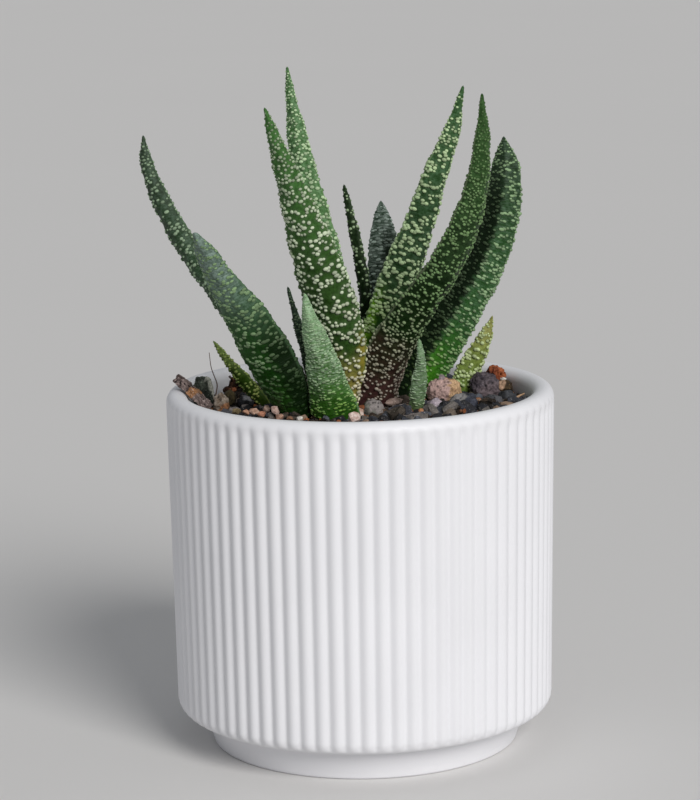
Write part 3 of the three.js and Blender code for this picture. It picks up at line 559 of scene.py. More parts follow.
def node_group(name, kind, inputs, outputs):
    """An empty node group, with its inputs by name and its output node.

    A socket is given by its default value, or by its type where it has none.
    """
    tree = bpy.data.node_groups.new(name, kind)
    for way, sockets in (("INPUT", inputs), ("OUTPUT", outputs)):
        for label, value in sockets.items():
            bare = isinstance(value, str)
            socket_type = value if bare else SOCKET_KINDS[type(value)]
            made = tree.interface.new_socket(label, in_out=way, socket_type=socket_type)
            if not bare:
                made.default_value = value
    start = tree.nodes.new("NodeGroupInput")
    end = tree.nodes.new("NodeGroupOutput")
    return tree, {label: Flow(tree, start.outputs[label]) for label in inputs}, end


# -------- shared effects


def stone_grain(name):
    """Mottled mineral colour with flecks, painted shade in pits, and a fine grain for the surface.
    """
    inputs = dict.fromkeys(("Light", "Dark", "Fleck", "Patch"), GREY)
    inputs |= {"Scale": 400.0, "Fleck Share": 0.2}
    tree, given, end = node_group(name, "ShaderNodeTree", inputs, SURFACE)
    spot = place(tree)
    broad = clouds(spot, given["Scale"], 4.0, 0.6)
    fine = clouds(spot, given["Scale"] * 5.0, 3.0, 0.7)
    body = mix(smooth(broad, 0.35, 0.65), given["Dark"], given["Light"])
    body = mix(trait(tree, "patch"), body, given["Patch"])
    edge = 0.72 - given["Fleck Share"] * 0.4
    flecked = mix(smooth(fine, edge, edge + 0.06), body, given["Fleck"])
    colour = shaded(flecked, smooth(fine, 0.3, 0.7, 0.68, 1.15))
    # Painted shade: the colour darkens in the pits of stones and the holes of bark.
    painted_pit_shade = smooth(trait(tree, "pit"), 0.1, 0.9, 1.0, 0.22)
    fill(end.inputs["Colour"], shaded(colour, painted_pit_shade))
    fill(end.inputs["Roughness"], smooth(fine, 0.2, 0.8, 0.95, 0.7))
    fill(end.inputs["Height"], broad + fine)
    return tree


def leaf_skin(name):
    """Leaf colour up the leaf: wax and painted sky sheen, fine streaks, pale margin, pale warts."""
    inputs = dict.fromkeys((*SKIN_COLOURS, "Stain"), GREY)
    inputs |= {"Bloom From": 0.3, "Bloom Share": 0.5, "Hatch": 0.3}
    inputs |= {"Stain Cover": 0.0, "Tip Fade": 0.0}
    tree, given, end = node_group(name, "ShaderNodeTree", inputs, SURFACE)
    spot = place(tree)
    broad = clouds(spot, 130.0, 3.0)
    fine = clouds(spot, 900.0, 3.0, 0.65)
    strip = triple(trait(tree, "wide") * 0.42, trait(tree, "run") * 1.9)
    streaks = smooth(clouds(strip, 1.0, 3.0, 0.6), 0.42, 0.62)
    along = trait(tree, "along") + calc("MULTIPLY_ADD", broad, 0.3, -0.15)

    colour = mix(smooth(along, 0.04, 0.3), given["Foot"], given["Body"])
    colour = mix(smooth(along, 0.4, 0.95), colour, given["Upper"])
    # Bluish-grey film up the leaf: partly a real waxy coat, partly a painted sky reflection.
    bloom_and_sheen_rise = smooth(along, given["Bloom From"], given["Bloom From"] + 0.35)
    bloom_and_sheen_pattern = mix(given["Hatch"], smooth(fine, 0.38, 0.68, 0.2, 1.0), streaks, "FLOAT")
    bloom_and_sheen = bloom_and_sheen_rise * (bloom_and_sheen_pattern * given["Bloom Share"])
    colour = mix(bloom_and_sheen, colour, given["Bloom"])
    colour = shaded(colour, smooth(fine, 0.3, 0.7, 0.7, 1.2))
    colour = mix(trait(tree, "near") * 0.06, colour, given["Wart"])
    # A colour laid over a band of the leaf: real stains on some leaves, painted shade on others.
    stain = trait(tree, "stain")
    colour = mix(stain, colour, given["Stain"])
    side = calc("ABSOLUTE", trait(tree, "across"))
    colour = mix(smooth(side, 0.93, 1.0) * 0.6, colour, given["Margin"])

    wart = mix(smooth(along, 0.05, 0.42), given["Wart Foot"], given["Wart"])
    wart = mix(smooth(along, 0.6, 0.95) * given["Tip Fade"], wart, given["Upper"])
    wart = mix(stain * given["Stain Cover"], wart, given["Stain"])
    wart = shaded(wart, smooth(trait(tree, "tone"), 0.0, 1.0, 0.66, 1.1))
    colour = mix(smooth(trait(tree, "crest"), 0.03, 0.55), colour, wart)

    fill(end.inputs["Colour"], colour)
    fill(end.inputs["Roughness"], smooth(fine, 0.2, 0.8, 0.4, 0.55) + bloom_and_sheen * 0.25)
    grain = cells(spot, 2600.0) * 0.5 + fine
    fill(end.inputs["Height"], grain + streaks * given["Hatch"])
    return tree


# -------- materials


def principled(name, height_mm=0.1, strength=1.0, **uniform):
    """A new material's tree, and a function that links its colour, roughness and height."""
    material = bpy.data.materials.new(name)
    material.use_nodes = True
    tree = material.node_tree
    shader = tree.nodes["Principled BSDF"]
    for label, value in uniform.items():
        shader.inputs[label.replace("_", " ")].default_value = value

    def finish(colour, roughness=None, height=None):
        fill(shader.inputs["Base Color"], colour)
        if roughness is not None:
            fill(shader.inputs["Roughness"], roughness)
        if height is not None:
            inputs = {"Height": height, "Strength": strength, "Distance": height_mm * MM}
            fill(shader.inputs["Normal"], wire(tree, "ShaderNodeBump", inputs))
        return material

    return tree, finish


def effect(tree, name, build, values):
    """Places a shared effect, made by `build` the first time, and returns what it puts out."""
    group = bpy.data.node_groups.get(name) or build(name)
    return wire(tree, "ShaderNodeGroup", values, give=tuple(SURFACE), node_tree=group)


def grain(tree, light, dark, fleck, patch, scale, share):
    """The stone grain at this scale, with this share of flecks."""
    values = {"Light": light, "Dark": dark, "Fleck": fleck, "Patch": patch}
    values |= {"Scale": scale, "Fleck Share": share}
    return effect(tree, "Stone grain", stone_grain, values)


def paint(code):
    """A colour written as six hex digits, as linear light."""
    parts = [int(code[i : i + 2], 16) / 255 for i in (0, 2, 4)]
    linear = [p / 12.92 if p <= 0.04045 else ((p + 0.055) / 1.055) ** 2.4 for p in parts]
    return (*linear, 1.0)


def paints(codes):
    return [paint(code) for code in codes.split()]


def tinted(colour, share=1.0):
    """A setting's colour, made darker by a share, with the fourth value that sockets take."""
    return (*(share * part for part in colour), 1.0)


def stone_material(name, colours, patch=None, scale=420.0, share=0.2, height_mm=0.12):
    """Stone of these light, dark and fleck colours, on some with a patch of another colour."""
    tree, finish = principled(name.replace("_", " "), height_mm, Specular_IOR_Level=0.25)
    light, dark, fleck = paints(colours)
    patch = paint(patch) if patch else light
    return finish(*grain(tree, light, dark, fleck, patch, scale, share))


def ceramic_material(glaze):
    """Matte white glaze over slip-cast clay: nearly even, with a fine tooth."""
    tree, finish = principled("matte ceramic", 0.03, strength=0.6, Coat_Weight=0.04)
    spot = place(tree)
    broad = clouds(spot, 35.0, 3.0)
    tooth = clouds(spot, 2600.0, 2.0, 0.6)
    colour = mix(smooth(broad, 0.3, 0.7), tinted(glaze, 0.975), tinted(glaze))
    speck = smooth(cells(spot, 420.0), 0.02, 0.06, 0.35, 0.0)
    chosen = smooth(clouds(spot, 260.0), 0.6, 0.66)
    colour = mix(speck * chosen, colour, paint("9a948c"))
    return finish(colour, smooth(tooth, 0.2, 0.8, 0.46, 0.6), tooth + broad)


def leaf_material(name, look):
    """A leaf's skin and warts in the colours of its look."""
    tree, finish = principled(name, 0.12, strength=0.7, Specular_IOR_Level=0.15)
    values = dict(zip(SKIN_COLOURS, paints(look.colours)))
    if look.stain:
        values |= {"Stain": paint(look.stain[0]), "Stain Cover": look.stain[3]}
    values |= {"Bloom From": look.bloom_from, "Bloom Share": look.bloom_share}
    values |= {"Hatch": look.hatch, "Tip Fade": look.tip_fade}
    return finish(*effect(tree, "Leaf skin", leaf_skin, values))


COARSE_KINDS = (
    "3d4049 2c2d33 55565d 474a55 6a625c 33343a 7c7672 4a4038 "
    "3a3c44 84766a 2a2a2e 5d6069 a98f7a 44464e 938a86 504840"
)
FINE_KINDS = (
    "2b231d 3a2f27 1f1b18 4a3d32 3f3f45 332b26 8a6248 2a2421 "
    "6b5647 a08672 241f1c 34363d c4b2a2 3c3a3a a8643e 55504c"
)


def gravel_material(name, kinds):
    """Gravel of many kinds: each piece takes its colour from its own random tone."""
    tree, finish = principled(name.replace("_", " "), 0.12, Specular_IOR_Level=0.25)
    node = wire(tree, "ShaderNodeValToRGB", {"Fac": trait(tree, "tone")}, give=None)
    node.color_ramp.interpolation = "CONSTANT"
    elements = node.color_ramp.elements
    kinds = paints(kinds)
    while len(elements) < len(kinds):
        elements.new(0.5)
    for i, kind in enumerate(kinds):
        elements[i].position = i / len(kinds)
        elements[i].color = kind
    colour = Flow(tree, node.outputs["Color"])
    dark = mix(0.45, colour, paint("1c1815"))
    fleck = mix(0.3, colour, paint("d8d0c4"))
    return finish(*grain(tree, colour, dark, fleck, colour, scale=380.0, share=0.25))


def bark_material(name, colours, patch):
    """Bark: the stone grain drawn out into fibres along the piece's own length."""
    tree, finish = principled(name.replace("_", " "), 0.25, Specular_IOR_Level=0.2)
    parts = (*paints(colours), paint(patch))
    colour, roughness, height = grain(tree, *parts, scale=330.0, share=0.3)
    strip = triple(trait(tree, "along") * 3.0, trait(tree, "across") * 26.0)
    fibre = clouds(strip, 2.0, 4.0, 0.7)
    colour = shaded(colour, smooth(fibre, 0.3, 0.7, 0.5, 1.3))
    return finish(colour, roughness, height + fibre * 2.0)


def plain_fibre(name, colours):
    """A dry root or straw: two browns along the strand."""
    tree, finish = principled(name.replace("_", " "))
    spot = place(tree)
    light, dark = paints(colours)
    colour = mix(clouds(spot, 900.0, 3.0), dark, light)
    return finish(colour, smooth(clouds(spot, 1500.0), 0.2, 0.8, 0.6, 0.9))


# -------- mesh helpers

SAME_POINT = 1e-6


def step(x, low, high):
    """A smooth step from 0 to 1 as x goes from low to high."""
    t = np.clip((x - low) / (high - low), 0, 1)
    return t * t * (3 - 2 * t)


def unit(vectors):
    return vectors / np.linalg.norm(vectors, axis=-1, keepdims=True)


def even_turn(count):
    """Angles in even steps once round."""
    return np.linspace(0, 2 * math.pi, count, endpoint=False)


def along_stations(stations, shares):
    """Points on the smooth curve through the stations, all their values together."""
    held = np.asarray(stations, float)
    ends = np.vstack([2 * held[0] - held[1], held, 2 * held[-1] - held[-2]])
    reached = np.asarray(shares) * (len(held) - 1)
    i = np.minimum(reached.astype(int), len(held) - 2)
    u = (reached - i)[:, None]
    a, b, c, d = ends[i], ends[i + 1], ends[i + 2], ends[i + 3]
    lean_b, lean_c = (c - a) / 2, (d - b) / 2
    return (
        (2 * b - 2 * c + lean_b + lean_c) * u**3
        + (-3 * b + 3 * c - 2 * lean_b - lean_c) * u**2
        + lean_b * u
        + b
    )


def add_object(name, data):
    made = bpy.data.objects.new(name, data)
    bpy.context.scene.collection.objects.link(made)
    return made


def seat(piece, slot, *nodes):
    """Gives a finished piece its body, hides the CAD nodes it stands for; `slot` is not used."""
    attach(piece, "root")
    if nodes:
        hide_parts(*nodes)


def closed_rings(name, rings, first, last):
    """A closed surface through rings of points, with a pole at each end, facing outwards."""
    rings = np.asarray(rings, float)
    count, around = rings.shape[:2]
    points = np.concatenate([rings.reshape(-1, 3), [first, last]])
    start, end = count * around, count * around + 1
    faces = []
    for k in range(around):
        after = (k + 1) % around
        faces.append((start, after, k))
        faces.append((end, (count - 1) * around + k, (count - 1) * around + after))
        for i in range(count - 1):
            a, b = i * around + k, i * around + after
            faces.append((a, b, b + around, a + around))
    triangles = [(f[0], f[i], f[i + 1]) for f in faces for i in range(1, len(f) - 1)]
    corners = points[np.array(triangles)]
    volume = np.einsum("ij,ij->i", corners[:, 0], np.cross(corners[:, 1], corners[:, 2])).sum()
    if volume < 0:
        faces = [face[::-1] for face in faces]
    mesh = bpy.data.meshes.new(name)
    mesh.from_pydata((points * MM).tolist(), [], faces)
    mesh.shade_smooth()
    return mesh


def store(mesh, name, values, kind="FLOAT"):
    """Keeps a number or a vector on every point of a mesh."""
    layer = mesh.attributes.new(name, kind, "POINT")
    field = "vector" if kind == "FLOAT_VECTOR" else "value"
    layer.data.foreach_set(field, np.asarray(values, np.float32).ravel())


def baked(piece, name):
    """The object with its modifiers applied, as a plain mesh."""
    graph = bpy.context.evaluated_depsgraph_get()
    mesh = bpy.data.meshes.new_from_object(
        piece.evaluated_get(graph), preserve_all_data_layers=True, depsgraph=graph
    )
    piece.modifiers.clear()
    old, piece.data = piece.data, mesh
    bpy.data.meshes.remove(old)
    piece.name = mesh.name = name
    return piece


def grow(name, mesh, tree, values):
    """A new piece: a mesh run through a Geometry Nodes tree with these inputs and made plain."""
    piece = add_object(name, mesh)
    modifier = piece.modifiers.new(tree.name, "NODES")
    modifier.node_group = tree
    for item in tree.interface.items_tree:
        if item.in_out != "INPUT" or item.name not in values:
            continue
        value = values[item.name]
        if isinstance(value, str):  # the name of an attribute to read the number from
            modifier[item.identifier + "_use_attribute"] = True
            modifier[item.identifier + "_attribute_name"] = value
        else:
            modifier[item.identifier] = value
    return baked(piece, name)


def reshaped(mesh, change):
    """Runs a change on a mesh that is open for editing and writes the result back to it."""
    shape = bmesh.new()
    shape.from_mesh(mesh)
    change(shape)
    shape.to_mesh(mesh)
    shape.free()
    return mesh


def cad_copy(node):
    """A CAD node's mesh, copied with its shared points merged."""
    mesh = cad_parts[node].data.copy()
    mesh.materials.clear()
    return reshaped(
        mesh, lambda shape: bmesh.ops.remove_doubles(shape, verts=shape.verts, dist=SAME_POINT)
    )


def remeshed(node, name, cell_mm):
    """A CAD node's shape in even, fine faces with its corners a little worn."""
    piece = add_object(name, cad_copy(node))
    cells = piece.modifiers.new("cells", "REMESH")
    cells.mode = "VOXEL"
    cells.voxel_size = cell_mm * MM
    piece.modifiers.new("worn", "SMOOTH")
    baked(piece, name)
    piece.data.shade_smooth()
    return piece


def points_and_normals(mesh):
    """A mesh's points, in millimetres, and the normal at each."""
    points, normals = (np.empty(len(mesh.vertices) * 3, np.float32) for _ in range(2))
    mesh.vertices.foreach_get("co", points)
    mesh.vertex_normals.foreach_get("vector", normals)
    return points.reshape(-1, 3) / MM, normals.reshape(-1, 3)


def move_points(mesh, points_mm):
    mesh.vertices.foreach_set("co", (np.asarray(points_mm) * MM).astype(np.float32).ravel())
    mesh.update()


# -------- Geometry Nodes helpers


def geometry_tree(name, sizes):
    """An empty tree that takes a geometry, these sizes and a material."""
    inputs = {"Geometry": GEOMETRY, **sizes, "Material": "NodeSocketMaterial"}
    return node_group(name, "GeometryNodeTree", inputs, {"Geometry": GEOMETRY})


def close_tree(end, shape, material):
    """Gives the shape its material and puts it out."""
    inputs = {"Geometry": shape, "Material": material}
    fill(end.inputs["Geometry"], wire(shape.tree, "GeometryNodeSetMaterial", inputs))
    return shape.tree


def position(tree):
    return wire(tree, "GeometryNodeInputPosition")


def kept(tree, name, kind="FLOAT"):
    """A value stored on the points of the geometry at hand."""
    return wire(tree, "GeometryNodeInputNamedAttribute", {"Name": name}, data_type=kind)


def tag(geometry, name, value):
    """Stores a number on every point of a geometry."""
    inputs = {"Geometry": geometry, "Name": name, "Value": value}
    kind = {"data_type": "FLOAT", "domain": "POINT"}
    return wire(geometry.tree, "GeometryNodeStoreNamedAttribute", inputs, **kind)


def chance(seed, offset, low, high):
    """A random number from low to high, another one for each point."""
    inputs = {"Seed": seed + offset, "Min": low, "Max": high}
    return wire(seed.tree, "FunctionNodeRandomValue", inputs, give="Value", data_type="FLOAT")


def strewn(given, density, share):
    """Points over a surface with room round each, and their rotations."""
    inputs = {
        "Mesh": given["Geometry"],
        "Distance Min": given["Spacing"],
        "Density Max": density,
        "Density Factor": share,
        "Seed": given["Seed"],
    }
    kind, give = "GeometryNodeDistributePointsOnFaces", ("Points", "Rotation")
    return wire(given["Geometry"].tree, kind, inputs, give, distribute_method="POISSON")


def on_points(points, instance, rotation, scale):
    """The instance on every point, so turned and scaled."""
    inputs = {"Points": points, "Instance": instance, "Rotation": rotation, "Scale": scale}
    return wire(points.tree, "GeometryNodeInstanceOnPoints", inputs)


def realized(geometry):
    return wire(geometry.tree, "GeometryNodeRealizeInstances", {"Geometry": geometry})


def moved(geometry, way, value):
    """The geometry's points moved by an Offset or to a Position."""
    return wire(geometry.tree, "GeometryNodeSetPosition", {"Geometry": geometry, way: value})


def vector(operation, *parts, **scale):
    """Reckons with vectors: one, two, or one and its Scale."""
    inputs = dict(enumerate(parts)) | scale
    return wire(tree_of(*parts), "ShaderNodeVectorMath", inputs, operation=operation)


# -------- pot

COLUMNS_PER_RIB = 10


def pot_profile():
    """The wall from the middle of the foot, out, up, over the lip and down inside, with the share
    of the rib depth at each point."""

    def bow(radius, height, size, start, end, steps):
        """An arc round the point at this radius and height, between two angles."""
        angles = np.radians(np.linspace(start, end, steps))
        return [(radius + size * math.cos(a), height + size * math.sin(a)) for a in angles]

    p = POT
    edge, shoulder, lip = p["foot_round"], p["shoulder_round"], p["lip_round"]
    rise, lip_height = p["recess_height"] + shoulder, p["height"] - lip
    foot = [*UNDERSIDE, *bow(p["foot_radius"] - edge, edge, edge, -90, 0, 5), *FOOT_SIDE]
    body = bow(p["shoulder_radius"], rise, shoulder, -88, 0, 12)
    slope = (p["radius"] - p["lower_radius"]) / (p["ribs_full_to"] - rise)
    for z in BODY_HEIGHTS:
        body.append((p["lower_radius"] + slope * (min(z, p["ribs_full_to"]) - rise), z))
    body += bow(p["radius"] - lip, lip_height, lip, 8, 90, 8)
    inside = [*bow(p["mouth_radius"] + lip, lip_height, lip, 98, 180, 8), *INSIDE]
    shares = []
    for _, z in body:
        fade = 1 - step(z, p["ribs_full_to"], p["ribs_end"])
        shares.append(fade * step(z, p["recess_height"], p["ribs_full_from"]))
    return foot + body + inside, [0.0] * len(foot) + shares + [0.0] * len(inside)


def rib_tree():
    """Draws the wall in along evenly spaced upright valleys, by each point's own share."""
    sizes = {"Ribs": 80, "Depth": 0.0008, "Softness": 0.3, "First Valley": 0.0}
    tree, given, end = geometry_tree("Upright ribs", sizes)
    spot = position(tree)
    x, y = wire(tree, "ShaderNodeSeparateXYZ", {0: spot}, give=(0, 1))
    azimuth = calc("ARCTAN2", y, x) - given["First Valley"]
    wave = calc("SINE", azimuth * (given["Ribs"] * 0.5))
    soft = given["Softness"] * given["Softness"]
    bowl = calc("SQRT", calc("MULTIPLY_ADD", wave, wave, soft))
    crest = calc("SQRT", soft + 1.0)
    sunk = (crest - bowl) / (crest - given["Softness"])
    depth = sunk * kept(tree, "rib_share") * given["Depth"]
    outward = vector("NORMALIZE", triple(x, y))
    offset = vector("SCALE", outward, Scale=depth * -1.0)
    shaped = moved(given["Geometry"], "Offset", offset)
    return close_tree(end, realized(shaped), given["Material"])


class GASTERIA_OT_pot(bpy.types.Operator):
    """Turns the ribbed white pot"""

    bl_idname = "gasteria.pot"
    bl_label = "Pot"

    def execute(self, context):
        settings = context.scene.gasteria_pot
        profile, shares = pot_profile()
        around = settings.ribs * COLUMNS_PER_RIB
        first_valley = math.radians(POT["first_valley"])
        turn = even_turn(around) + first_valley
        circle = np.stack([np.cos(turn), np.sin(turn), np.zeros(around)], axis=1)
        rings = [r * circle + (0, 0, z) for r, z in profile]
        mesh = closed_rings("pot_wall", rings, (0, 0, 0), (0, 0, INSIDE[-1][1]))
        store(mesh, "rib_share", np.append(np.repeat(shares, around), [0, 0]))
        values = {
            "Ribs": settings.ribs,
            "Depth": settings.rib_depth,
            "Softness": settings.rib_softness,
            "First Valley": first_valley,
            "Material": ceramic_material(settings.glaze),
        }
        seat(grow("pot_wall", mesh, rib_tree(), values), "ceramic", "pot")
        return {"FINISHED"}


# -------- leaves

OUTER_SHARE = 0.62  # how much of a leaf's thickness lies on its outer side
WORN = 0.035  # how rounded the ridge of a keel is
LINE_POINTS, FEWEST_RINGS, FEWEST_COLUMNS = 200, 24, 8
RING_STEP, COLUMN_STEP = 0.62, 0.62
A_LITTLE = 1e-4  # the share of the way over which a leaf's direction is taken
BARE_FROM_SOIL, ROUGH_FROM_SOIL = 1.0, 5.0
SMOOTH_TIP_FROM = 0.965
MARGIN_FROM, MARGIN_FULL = 0.8, 0.94
BAND_EDGE = 0.2
SLIMMEST = 0.8  # warts stand closest together where they are this much smaller than the largest
OTHER_SIDE = 40.0  # keeps the streaks of a leaf's two sides apart
SKIN_SEED, WART_SEED = 31, 7


def leaf_line(leaf):
    """The leaf's centre line in even steps, as stations, with its length in millimetres and at each
    step the share of the way, the way ahead, the way across and the way that it faces."""
    coarse = np.linspace(0, 1, LINE_POINTS)
    steps = np.linalg.norm(np.diff(along_stations(leaf.stations, coarse)[:, :3], axis=0), axis=1)
    length = steps.sum()
    travelled = np.concatenate([[0], np.cumsum(steps)])
    count = max(FEWEST_RINGS, int(length / RING_STEP))
    shares = np.interp(np.linspace(0, length, count), travelled, coarse)
    line = along_stations(leaf.stations, shares)
    ahead = along_stations(leaf.stations, np.minimum(shares + A_LITTLE, 1))
    behind = along_stations(leaf.stations, np.maximum(shares - A_LITTLE, 0))
    tangent = unit((ahead - behind)[:, :3])
    azimuth = np.radians(leaf.faces[0] + (leaf.faces[1] - leaf.faces[0]) * shares)
    facing = np.stack([np.cos(azimuth), np.sin(azimuth), 0 * azimuth], axis=1)
    facing = unit(facing - tangent * np.einsum("ij,ij->i", facing, tangent)[:, None])
    return line, length, shares, tangent, np.cross(tangent, facing), facing


def leaf_section(leaf, widest):
    """A leaf's section: each point's place across and up on a circle, and its height as a share of
    the thickness."""
    around = 2 * max(FEWEST_COLUMNS, int(round(1.15 * widest / COLUMN_STEP)))
    angle = 2 * math.pi * np.arange(around) / around
    angle = angle - 0.16 * np.sin(2 * angle)
    across, up = np.cos(angle), np.sin(angle)
    keel = leaf.keel
    reach = np.where(across > keel, (across - keel) / (1 - keel), (keel - across) / (1 + keel))
    flat, steep = math.sqrt(WORN), math.sqrt(1 + WORN)
    ridge = 1 - (np.sqrt(reach**2 + WORN) - flat) / (steep - flat)
    outer = OUTER_SHARE * ((1 - leaf.ridge) * up + leaf.ridge * ridge)
    return across, up, np.where(up < 0, (1 - OUTER_SHARE) * up, outer)


def leaf_skin_mesh(name, leaf, look, relief_mm, seed):
    """The leaf's smooth skin with low ripples, and what the warts and the colours need to know."""
    line, length, shares, tangent, side, facing = leaf_line(leaf)
    widest = max(station[3] for station in leaf.stations)
    across, up, height = leaf_section(leaf, widest)
    shares, lifted, width, thickness = shares[:, None], line[:, 2:3], line[:, 3:4], line[:, 4:5]
    travelled = np.linspace(0, length, len(line))[:, None]

    # Slow waves bend the bands of warts and lift the skin a little between them.
    wander = random.Random(seed)
    a, b, c = (wander.uniform(0, 6.28) for _ in range(3))
    wave = 0.32 * np.sin(2.3 * across + 0.21 * travelled + a)
    wave = wave + 0.22 * np.sin(5.1 * across - 0.47 * travelled + b) + 0.1 * up
    band = 0.5 + 0.5 * np.cos(2 * math.pi * (travelled / look.band + wave))
    above = lifted - SOIL_LEVEL
    shown = step(above, BARE_FROM_SOIL, ROUGH_FROM_SOIL) * (1 - step(shares, SMOOTH_TIP_FROM, 1.0))
    ripple = relief_mm * shown * np.minimum(1, width / 6) * (band - 0.5)
    ripple = ripple + 0.12 * np.sin(0.55 * travelled + 3 * across + c) * shown

    def carried(start, beside, out):
        """Places or directions moved so far beside and so far out of the face of each section."""
        return start + side[:, None] * beside[:, :, None] + facing[:, None] * out[:, :, None]

    points = carried(line[:, None, :3], across * width / 2, height * thickness)
    points = points + unit(carried(0, across / width, up / thickness)) * ripple[:, :, None]
    foot, tip = line[0, :3] - 0.2 * tangent[0], line[-1, :3] + 0.5 * tangent[-1]
    mesh = closed_rings(name, points, foot, tip)

    # Each layer's values on the rings, and those at the foot and at the tip.
    edge = step(np.abs(across), MARGIN_FROM, MARGIN_FULL) * look.rows
    slim = np.minimum(1, 0.45 + 0.55 * width / (0.75 * widest))
    warts = np.maximum(step(band, look.gap, look.gap + BAND_EDGE), edge)
    # Where the laid-over colour lies: real stains on some leaves, painted shade on others.
    stain = 0.0
    if look.stain:
        _, (start, full), (low, low_full, high_full, high), _ = look.stain
        blur = 0.08 * np.sin(1.7 * travelled + 5 * across)
        beside = step((across + blur - start) / (full - start), 0, 1)
        stain = beside * step(lifted, low, low_full) * (1 - step(lifted, high_full, high))
    layers = {
        "along": (np.clip(above / max(above.max(), 1.0), 0, 1), (0, 1)),
        "run": (travelled, (0, length)),
        "wide": (across * width / 2 + OTHER_SIDE * (up < 0), (0, 0)),
        "across": (across, (0, 0)),
        "warts": (np.clip(warts * shown * (SLIMMEST / slim) ** 2, 0, 1), (0, 0)),
        "stain": (stain, (0, 0)),
        "wart_size": (slim, (0, 0)),
    }
    grid = np.ones(points.shape[:2])
    for label, (values, ends) in layers.items():
        store(mesh, label, np.append(values * grid, ends))
    sides = np.repeat(side, len(across), axis=0)
    store(mesh, "side", np.vstack([sides, side[:1], side[-1:]]), "FLOAT_VECTOR")
    return mesh


def wart_tree():
    """Scatters small rounded warts over a leaf's skin, thick where the skin says so."""
    sizes = {"Spacing": 0.001, "Density": 1.0e6, "Size": 0.001, "Height": 0.6, "Stretch": 1.0}
    tree, given, end = geometry_tree("Leaf warts", sizes | {"Seed": 0})
    seed, own_size = given["Seed"], kept(tree, "wart_size")
    points, rotation = strewn(given, given["Density"], kept(tree, "warts"))
    toned = tag(points, "tone", chance(seed, 1, 0.0, 1.0))

    sphere = {"Segments": 8, "Rings": 4, "Radius": 0.5}
    ball = wire(tree, "GeometryNodeMeshUVSphere", sphere, give="Mesh")
    up = wire(tree, "ShaderNodeSeparateXYZ", {0: position(tree)}, give=2)
    ball = tag(ball, "crest", smooth(up, 0.05, 0.5, curve="LINEAR"))
    ball = tag(ball, "near", 1.0)
    laid = wire(
        tree,
        "FunctionNodeAlignRotationToVector",
        {"Rotation": rotation, "Vector": kept(tree, "side", "FLOAT_VECTOR")},
        axis="X",
        pivot_axis="Z",
    )
    size = given["Size"] * (own_size * chance(seed, 2, 0.62, 1.15))
    wide = size * (given["Stretch"] * chance(seed, 3, 0.85, 1.25))
    scale = triple(wide, size, size * given["Height"] * 1.5)
    warts = on_points(toned, ball, laid, scale)

    near = {"give": "Distance", "target_element": "POINTS"}
    distance = wire(tree, "GeometryNodeProximity", {0: points}, **near)
    close = smooth(distance / (given["Size"] * own_size), 0.35, 0.9, 1.0, 0.0, "LINEAR")
    skin = tag(given["Geometry"], "near", close)
    joined = wire(tree, "GeometryNodeJoinGeometry", give=None)
    for part in (warts, skin):
        fill(joined.inputs[0], part)
    solid = realized(Flow(tree, joined.outputs[0]))
    rounded = wire(tree, "GeometryNodeSetShadeSmooth", {"Geometry": solid})
    return close_tree(end, rounded, given["Material"])


class GASTERIA_OT_leaves(bpy.types.Operator):
    """Grows the leaves with their warts"""

    bl_idname = "gasteria.leaves"
    bl_label = "Leaves"

    def execute(self, context):
        settings = context.scene.gasteria_leaves
        tree = wart_tree()
        relief_mm = settings.skin_relief / MM
        for number, (name, leaf) in enumerate(LEAVES.items()):
            look, skin = LOOKS[name], name + "_skin"
            spacing = look.spacing * MM
            mesh = leaf_skin_mesh(skin, leaf, look, relief_mm, SKIN_SEED + number)
            values = {
                "Spacing": 0.58 * spacing,
                "Density": 6.0 / spacing**2,
                "Size": look.size * settings.wart_scale * MM,
                "Height": settings.wart_height * look.raised,
                "Stretch": look.stretch,
                "Seed": WART_SEED + number,
                "Material": leaf_material(name + " skin", look),
            }
            seat(grow(skin, mesh, tree, values), look.slot, name)
        return {"FINISHED"}


# -------- soil

# Where gravel lies, in millimetres: the soil's top lies above these heights and inside this radius,
# with its normals at least so far up. Coarse gravel keeps away from stones and bark, and from the
# bare spot before the front leaf's foot, given as x from, x to and y up to. Fine grit creeps a
# little under them.
TOP_FACES_FROM, TOP_POINTS_FROM, TOP_RADIUS = 92, 94, 46.8
FACES_UP, POINTS_UP = 0.25, 0.2
CRUMB_HEIGHT = 0.35
COARSE_AWAY, FINE_AWAY = 2.0, -0.6
BARE_SPOT = (-13, 11, -24)

# Each layer's attribute that says where it lies, its kinds of stone, the least and most size in
# millimetres, how far it is lifted for its size, and what is added to the seed.
LAYERS = {
    "gravel_coarse": ("coarse_share", COARSE_KINDS, 2.4, 4.4, 0.16, 0),
    "gravel_fine": ("fine_share", FINE_KINDS, 0.8, 1.9, 0.22, 20),
}


